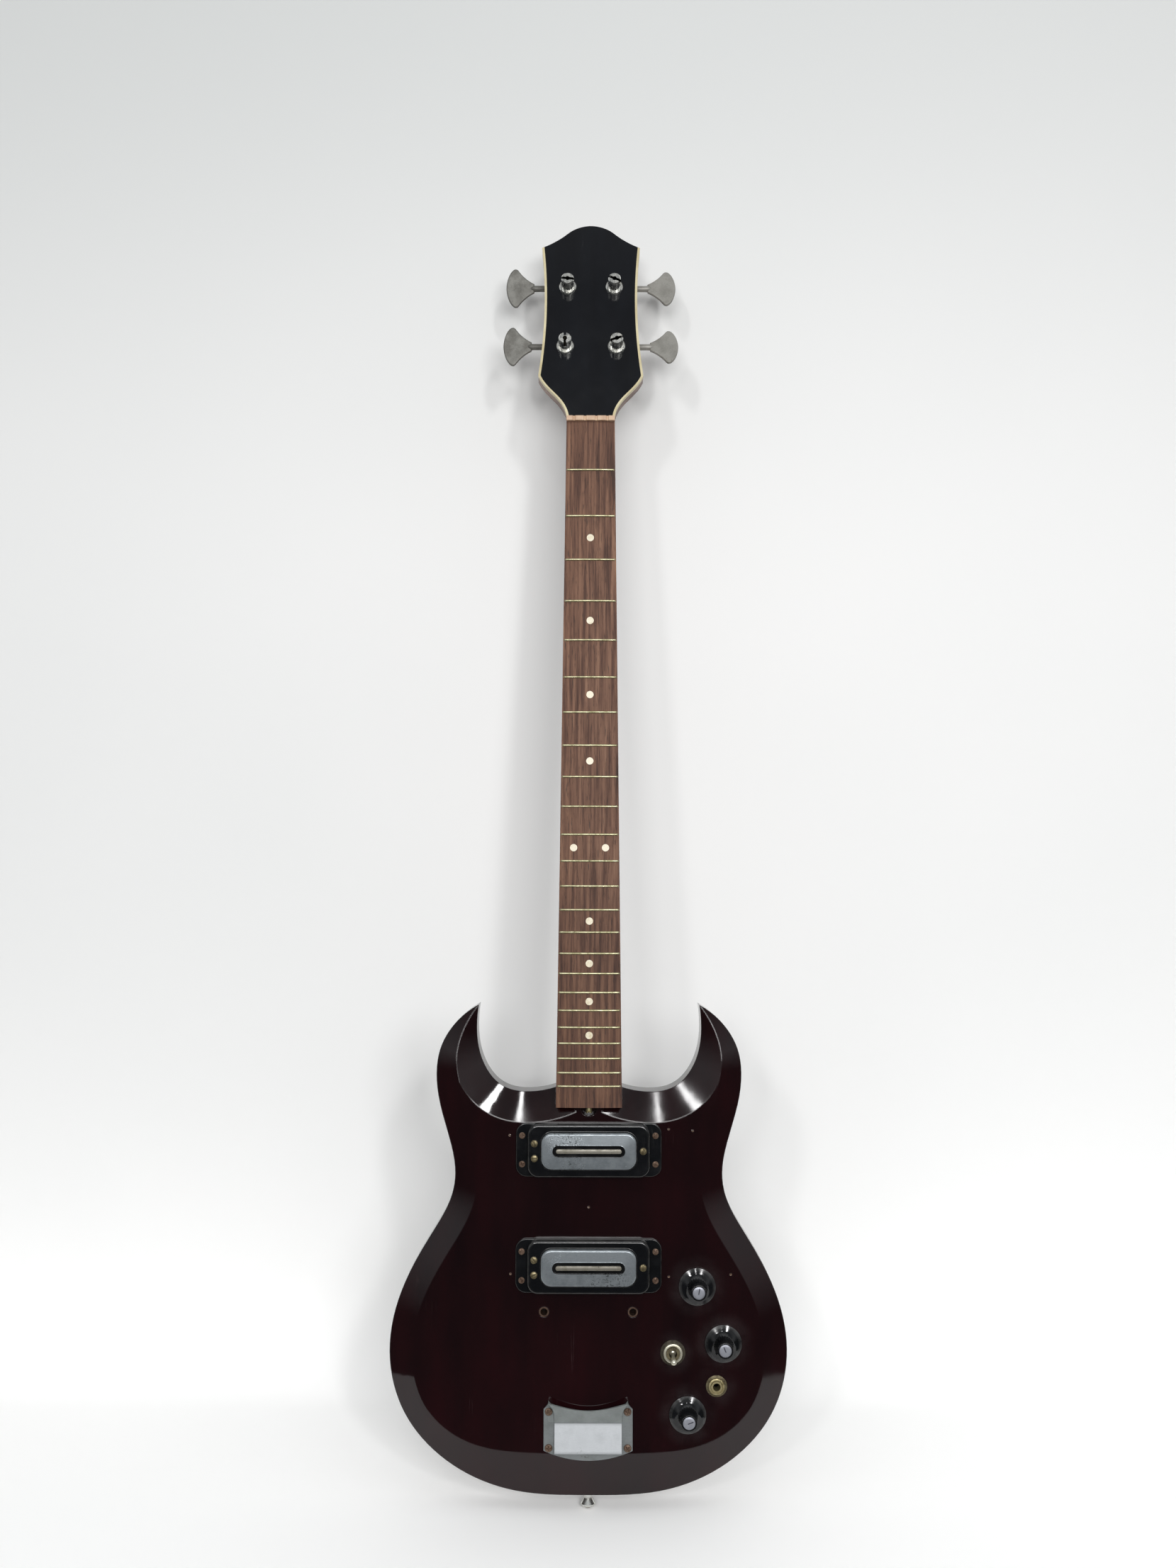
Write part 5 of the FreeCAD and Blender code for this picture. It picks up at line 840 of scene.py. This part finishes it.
def headGrid(radius, height, kind, turn):
    # a domed disc: columns across, rows along each chord; a slot or a cross is pressed into its height
    look = headLook
    t = np.linspace(-1, 1, look["steps"])
    packed = look["even"] * t + (1 - look["even"]) * np.sin(t * np.pi / 2)
    a = radius * packed
    chord = np.sqrt(np.maximum(radius ** 2 - a ** 2, 0))
    b = packed[:, None] * chord
    a = np.broadcast_to(a, b.shape)
    far = np.clip(np.hypot(a, b) / radius, 0, 1)
    lift = height * (look["brim"] + (1 - look["brim"]) * np.sqrt(1 - far ** 2))
    if kind == "slot":
        groove = softEdge(np.abs(a), radius * look["slot"])
    else:
        long, thin = radius * look["crossLong"], radius * look["crossThin"]
        groove = np.maximum(softEdge(np.abs(a), thin) * softEdge(np.abs(b), long),
                            softEdge(np.abs(b), thin) * softEdge(np.abs(a), long))
    top = np.stack([a, b, np.maximum(lift - groove * height * look["press"], look["floor"] * height)], -1)
    flat = np.zeros_like(top[:1])
    flat[..., 0] = a[0]
    rimLow, rimHigh = flat.copy(), flat.copy()
    rimLow[..., 1], rimHigh[..., 1] = -chord, chord
    grid = np.concatenate([flat, rimLow, top, rimHigh, flat])
    across, up = swung(grid[..., 0], grid[..., 1], turn)
    return np.stack([across, up, grid[..., 2]], -1)


def shankGrid(radius, length, point, steps=14):
    # a plain rod that runs to a point
    return spun([(0, 0), (radius, 0), (radius, -length + point), (0, -length)], steps)


pairs = (-1, 1)
cornerX, cornerZ = pickupLook["cornerX"], pickupLook["cornerZ"]
surroundSpots = [(side * cornerX, pickupLook["flangeTop"], middle + up * cornerZ, "-y")
                 for middle in layout["pickups"].values() for side in pairs for up in pairs]
heightSpots = [(x, pickupLook["raisedTop"], middle + up, "-y")
               for middle in layout["pickups"].values() for x, up in pickupLook["heightScrews"]]
tailSpots = [(side * tailLook["screwX"], -tailLook["sheet"], level, "-y")
             for side in pairs for level in tailLook["screwLevels"]]
rearSpots = [(x, layout["bodyBack"], z, "+y")
             for x, z in ((92.0, 44.6), (137.0, -43.3), (83.8, -107.6), (48.4, -56.5))]
strapSpots = [(0.0, 19.0, -166.8, "-z"), (0.0, 50.0, 160.0, "+y")]
plateLook = {"back": 16.5, "across": 8.6, "levels": (-9.6, 20.6)}
plateSpots = [(side * x + edge * plateLook["across"], plateLook["back"], z + level, "+y")
              for side, x, z in layout["tuners"].values() for edge in pairs for level in plateLook["levels"]]
screwLook = {
    # radius, height and recess of the head; radius, length and point of the shank;
    # the first head's turn and the step to the next
    "small_wood_screws": {
        "head": (2.7, 1.5, "cross"), "shank": (1.3, 11.0, 2.6), "turn": (25, 67),
        "finish": "rust", "slot": "rusty_steel", "spots": surroundSpots + rearSpots},
    "large_wood_screws": {
        "head": (3.2, 1.9, "cross"), "shank": (1.7, 16.0, 3.4), "turn": (25, 67),
        "finish": "rust", "slot": "rusty_steel", "spots": tailSpots + strapSpots},
    "pickup_height_screws": {
        "head": (3.0, 1.6, "slot"), "shank": (1.5, 22.0, 0.6), "turn": (25, 67),
        "finish": "brass", "slot": "brass", "spots": heightSpots},
    "tuner_plate_screws": {
        "head": (2.2, 1.2, "slot"), "shank": (1.1, 9.0, 2.2), "turn": (30, 71),
        "finish": "steel", "slot": "steel", "spots": plateSpots},
}
for node, look in screwLook.items():
    first, step = look["turn"]
    heads, shanks = [], []
    for count, spot in enumerate(look["spots"]):
        heads.append(facing(headGrid(*look["head"], (first + step * count) % 180), *spot))
        shanks.append(facing(shankGrid(*look["shank"]), *spot))
    if node == "tuner_plate_screws":
        heads = [headPlace(grid) for grid in heads]
        shanks = [headPlace(grid) for grid in shanks]
    finish = finishes[look["finish"]]
    piece = makePiece(node + "_heads", heads, finish, "bass", sharp=50, closeCols=False)
    makePiece(node + "_shanks", shanks, finish, "bass")
    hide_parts(node)
print("screws:", sum(len(look["spots"]) for look in screwLook.values()))


# panel nuts

nutLook = {
    # bore and outer radius, low and high end, chamfer and knurl depth of each ring, then its flats
    "switch": {"ring": (5.8, 8.2, 0.8, 3.8, 0.7, 0.16, 0), "finish": "ring", "slot": "nickel",
               "spots": [layout["switch"]]},
    "switchWasher": {"ring": (5.8, 10.6, 0.0, 0.8, 0.2, 0.0, 0), "finish": "darkened", "slot": "nickel",
                     "spots": [layout["switch"]]},
    "jack": {"ring": (4.8, 7.0, 0.8, 3.0, 0.8, 0.1, 0), "finish": "jack", "slot": "brass",
             "spots": [layout["jack"]]},
    "jackWasher": {"ring": (4.8, 9.0, 0.0, 0.8, 0.2, 0.0, 0), "finish": "washer", "slot": "brass",
                   "spots": [layout["jack"]]},
    "pots": {"ring": (4.0, 6.2, 0.0, 2.0, 0.3, 0.0, 6), "finish": "steel", "slot": "steel",
             "spots": layout["knobs"].values()},
}


def nutGrid(bore, outer, low, high, chamfer, knurl, flats):
    # a ring swept round its bore; its outer wall carries fine ridges, or flats
    foot, bulge, lip = chamfer * 0.4, chamfer * 0.3, chamfer * 0.5
    rows = [(bore, low), (outer - foot, low), (outer, low + foot), (outer, high - chamfer),
            (outer - bulge, high - bulge), (outer - chamfer, high), (bore + lip, high), (bore, high - lip)]
    wall = np.array([0, 1, 1, 1, 1, 0.3, 0, 0])[:, None]  # how much of the ridges each row takes
    ridges, steps = 48, 192
    grid = spun(rows, steps)
    turn = fullTurn(steps)
    share = 1 - wall * knurl / outer * (0.5 + 0.5 * np.cos(ridges * turn))
    if flats:
        part = np.pi / flats
        share = share * (1 - wall * (1 - math.cos(part) / np.cos((turn + part) % (2 * part) - part)))
    grid[..., :2] *= share[..., None]
    return grid


for name, look in nutLook.items():
    grids = [facing(nutGrid(*look["ring"]), x, 0, z, "-y") for x, z in look["spots"]]
    finish = finishes[look["finish"]]
    piece = makePiece("panelNuts_" + name, grids, finish, "bass", closeRows=True)
    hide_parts("panel_nuts")
print("panel nuts:", len(nutLook))


# tuning keys: a worm on a shaft that ends in a fishtail button

keyLook = {
    # the wheel's pitch radius and teeth, which give the worm its pitch
    "wheelRadius": 6.5, "wheelTeeth": 20,
    "root": 2.2, "crest": 3.6, "pitchRadius": 3.0, "flank": 20.0, "half": 0.36, "turns": 4,
    "wormHalf": 5.2, "wormStep": 0.1, "around": 56,
    # place along the shaft and radius, before and after the worm
    "tip": [(-7.3, 0.0), (-7.3, 2.0), (-5.2, 2.0)],
    "stem": [(5.2, 2.0), (7.4, 2.0), (7.4, 2.7), (28.0, 2.7), (30.2, 2.8), (32.0, 2.3), (34.5, 1.2),
             (34.5, 0.0)],
    "start": 30.2, "length": 25.2, "tall": 17.0, "thick": 1.6, "heart": 0.64, "outlineSteps": 8,
    # shares of the button's length and height along its upper edge
    "outline": [(0.0, 0.23), (0.12, 0.325), (0.26, 0.465), (0.40, 0.64), (0.51, 0.82), (0.59, 0.96),
                (0.66, 1.0), (0.75, 0.955), (0.87, 0.745), (0.96, 0.41)],
    # shares of the way from its heart to its edge, and of its half thickness there
    "section": [(0.0, 0.78), (0.35, 0.80), (0.7, 0.90), (0.88, 1.0), (0.94, 0.97), (0.975, 0.84),
                (0.993, 0.62), (1.0, 0.3)],
    # how far the shaft lies behind the headstock's face and above the post, and each button's turn
    "back": 20.4, "above": 9.5, "turned": {"one": 14.0, "two": -5.0, "three": 12.0, "four": -10.0},
}


def wormGrid():
    # radius as a function of place along the shaft and turn round it: the thread is where the helix passes
    look = keyLook
    pitch, root = 2 * math.pi * look["wheelRadius"] / look["wheelTeeth"], look["root"]
    places = np.arange(-look["wormHalf"], look["wormHalf"] + look["wormStep"] / 2, look["wormStep"])
    worm = np.stack([places, np.full(len(places), root)], -1)
    a, base = np.concatenate([look["tip"], worm, look["stem"]]).T[..., None]
    turn = fullTurn(look["around"])
    away = (a - pitch * turn / (2 * np.pi) + pitch / 2) % pitch - pitch / 2
    thread = look["pitchRadius"] + (look["half"] - np.abs(away)) / math.tan(math.radians(look["flank"]))
    cut = (base == root) & (np.abs(a - away) <= pitch * look["turns"] / 2)
    radius = np.where(cut, np.clip(thread, root, look["crest"]), base)
    return np.stack(np.broadcast_arrays(a, radius * np.sin(turn), -radius * np.cos(turn)), -1)


def buttonGrid():
    # the fishtail outline drawn in towards its heart in rings, with a round edge and slightly hollow faces
    look = keyLook
    upper = [(look["start"] + look["length"] * out, look["tall"] * up) for out, up in look["outline"]]
    tip = (look["start"] + look["length"], 0.0)
    lower = [(x, -z) for x, z in reversed(upper)]
    line = curveThrough(upper + [tip] + lower, look["outlineSteps"])
    heart = np.array([look["start"] + look["length"] * look["heart"], 0.0])
    rows = np.array(look["section"] + [(share, -high) for share, high in reversed(look["section"])])
    flat = heart + rows[:, None, :1] * (line - heart)
    return np.stack(np.broadcast_arrays(flat[..., 0], rows[:, 1:] * look["thick"], flat[..., 1]), -1)


worm, button = wormGrid(), buttonGrid()
for count, (side, x, z) in layout["tuners"].items():
    deep, up = swung(button[..., 1], button[..., 2], keyLook["turned"][count])
    grids = (worm, np.stack([button[..., 0], deep, up], -1))
    placed = [headPlace((grid + (x, keyLook["back"], z + keyLook["above"])) * (side, 1, 1)) for grid in grids]
    # the left pair take the painted-shade copy of the key nickel
    finish = finishes["key" if side > 0 else "shadedKey"]
    key = makePiece("tuningKey_" + count, placed, finish, "tuner_%s_key" % count, sharp=45)
    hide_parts("tuner_%s_key" % count)
print("tuning keys:", len(layout["tuners"]))


# stage, in metres: one pale sweep from the floor up the wall, three lamps, a soft box and a soft sky;
# the bass leans on the wall, so in its own frame floor and wall are turned about its lower end

stage = {
    "foot": (0.019, -0.1689), "lean": math.radians(10.5), "near": -0.19, "wall": 0.245, "bend": 0.09,
    "high": 2.0, "wide": 2.4, "floorRows": 11, "bendRows": 24, "wallRows": 8, "columns": 9,
}


def makePaper():
    # white with painted shade, greyer upwards and to the left, and open when seen from behind
    finish, tree, shader, place = startFinish("paper", Roughness=0.9, IOR=1.3)
    cloud = noiseOf(tree, place, 1.2, 3.0)
    colour = rampOf(tree, cloud, [(0.3, tone(248, 248, 247)), (0.7, tone(254, 253, 252))])
    # painted shade: the paper greys towards the top and towards the left
    upwards = rangeOf(tree, axisOf(tree, place, "Z"), 0.6, 1.25, 0.0, 0.8)
    leftwards = rangeOf(tree, axisOf(tree, place, "X"), -0.6, 0.4, 0.14, 0.0)
    paintedShade = mathOf(tree, "ADD", upwards, leftwards)
    tree.links.new(mixOf(tree, paintedShade, colour, tone(216, 218, 217)), shader.inputs["Base Color"])
    clear = tree.nodes.new("ShaderNodeBsdfTransparent")
    sides = tree.nodes.new("ShaderNodeMixShader")
    tree.links.new(tree.nodes.new("ShaderNodeNewGeometry").outputs["Backfacing"], sides.inputs["Fac"])
    tree.links.new(shader.outputs["BSDF"], sides.inputs[1])
    tree.links.new(clear.outputs["BSDF"], sides.inputs[2])
    tree.links.new(sides.outputs["Shader"], tree.nodes["Material Output"].inputs["Surface"])
    return finish


def makeBackdrop():
    # floor, quarter-round bend and wall as one profile, carried across
    flat = stage["wall"] - stage["bend"]
    bend = np.linspace(0, np.pi / 2, stage["bendRows"])
    deep = np.concatenate([np.linspace(stage["near"], flat, stage["floorRows"], endpoint=False),
                           flat + stage["bend"] * np.sin(bend), np.full(stage["wallRows"], stage["wall"])])
    tall = np.concatenate([np.zeros(stage["floorRows"]), stage["bend"] * (1 - np.cos(bend)),
                           np.linspace(stage["bend"], stage["high"], stage["wallRows"] + 1)[1:]])
    c, s = math.cos(stage["lean"]), math.sin(stage["lean"])
    y, z = stage["foot"][0] + deep * c - tall * s, stage["foot"][1] + deep * s + tall * c
    across = np.linspace(-stage["wide"], stage["wide"], stage["columns"])
    sweep = np.stack(np.broadcast_arrays(across, y[:, None], z[:, None]), -1)
    mesh = bpy.data.meshes.new("backdrop")
    faces = gridFaces(len(y), stage["columns"], False, False)
    mesh.from_pydata(sweep.reshape(-1, 3).tolist(), [], faces.tolist())
    mesh.shade_smooth()
    mesh.materials.append(makePaper())
    return addObject("backdrop", mesh)


backdrop = makeBackdrop()

lamps = {
    "keyLeft": {"at": (-1.93, -5.15, 2.5), "aim": (0.0, 0.0, 0.2), "size": (0.42, 0.7), "power": 36.0},
    "keyRight": {"at": (1.72, -5.15, 2.66), "aim": (0.0, 0.0, 0.2), "size": (0.42, 0.7), "power": 47.0},
    "keyMiddle": {"at": (0.0, -5.15, 3.22), "aim": (0.0, 0.0, 0.2), "size": (0.2, 0.3), "power": 7.0},
    "fill": {"at": (0.22, -2.4, 0.64), "aim": (0.05, 0.0, 0.5), "size": (1.6, 0.5), "power": 33.0},
}
for name, lamp in lamps.items():
    light = bpy.data.lights.new(name, "AREA")
    light.shape = "RECTANGLE"
    light.size, light.size_y = lamp["size"]
    light.energy = lamp["power"]
    holder = addObject(name, light)
    holder.location = lamp["at"]
    way = Vector(lamp["aim"]) - Vector(lamp["at"])
    holder.rotation_euler = way.to_track_quat("-Z", "Y").to_euler()

# strength of the sky from straight down to straight up:
# a dark floor, pale walls from the horizon up, a dimmer band and a bright ceiling
skyLook = {
    "colour": (244, 247, 249),
    "levels": ((0.46, 0.07), (0.57, 0.64), (0.66, 0.5), (0.8, 0.2), (0.9, 0.8), (1.0, 1.3)),
}


def makeSky():
    world = bpy.data.worlds.new("sky")
    world.use_nodes = True
    tree = world.node_tree
    sky = tree.nodes["Background"]
    sky.inputs["Color"].default_value = tone(*skyLook["colour"])
    up = axisOf(tree, tree.nodes.new("ShaderNodeTexCoord").outputs["Generated"], "Z")
    height = mathOf(tree, "ADD", product(tree, up, 0.5), 0.5)
    room = rampOf(tree, height, [(spot, (level, level, level, 1.0)) for spot, level in skyLook["levels"]])
    tree.links.new(room, sky.inputs["Strength"])
    return world


bpy.context.scene.world = makeSky()
bpy.context.scene.view_settings.view_transform = "Standard"

shot = {"at": (-0.0013, -1.3124, 0.3742), "pitch": 3.19, "roll": -0.15, "lens": 35.0, "sensor": 36.0}
camera = bpy.data.cameras.new("camera")
camera.lens = shot["lens"]
camera.sensor_width = shot["sensor"]
viewer = addObject("camera", camera)
viewer.location = shot["at"]
viewer.rotation_euler = (math.radians(90 + shot["pitch"]), math.radians(shot["roll"]), 0)
bpy.context.scene.camera = viewer
print("stage and camera set")
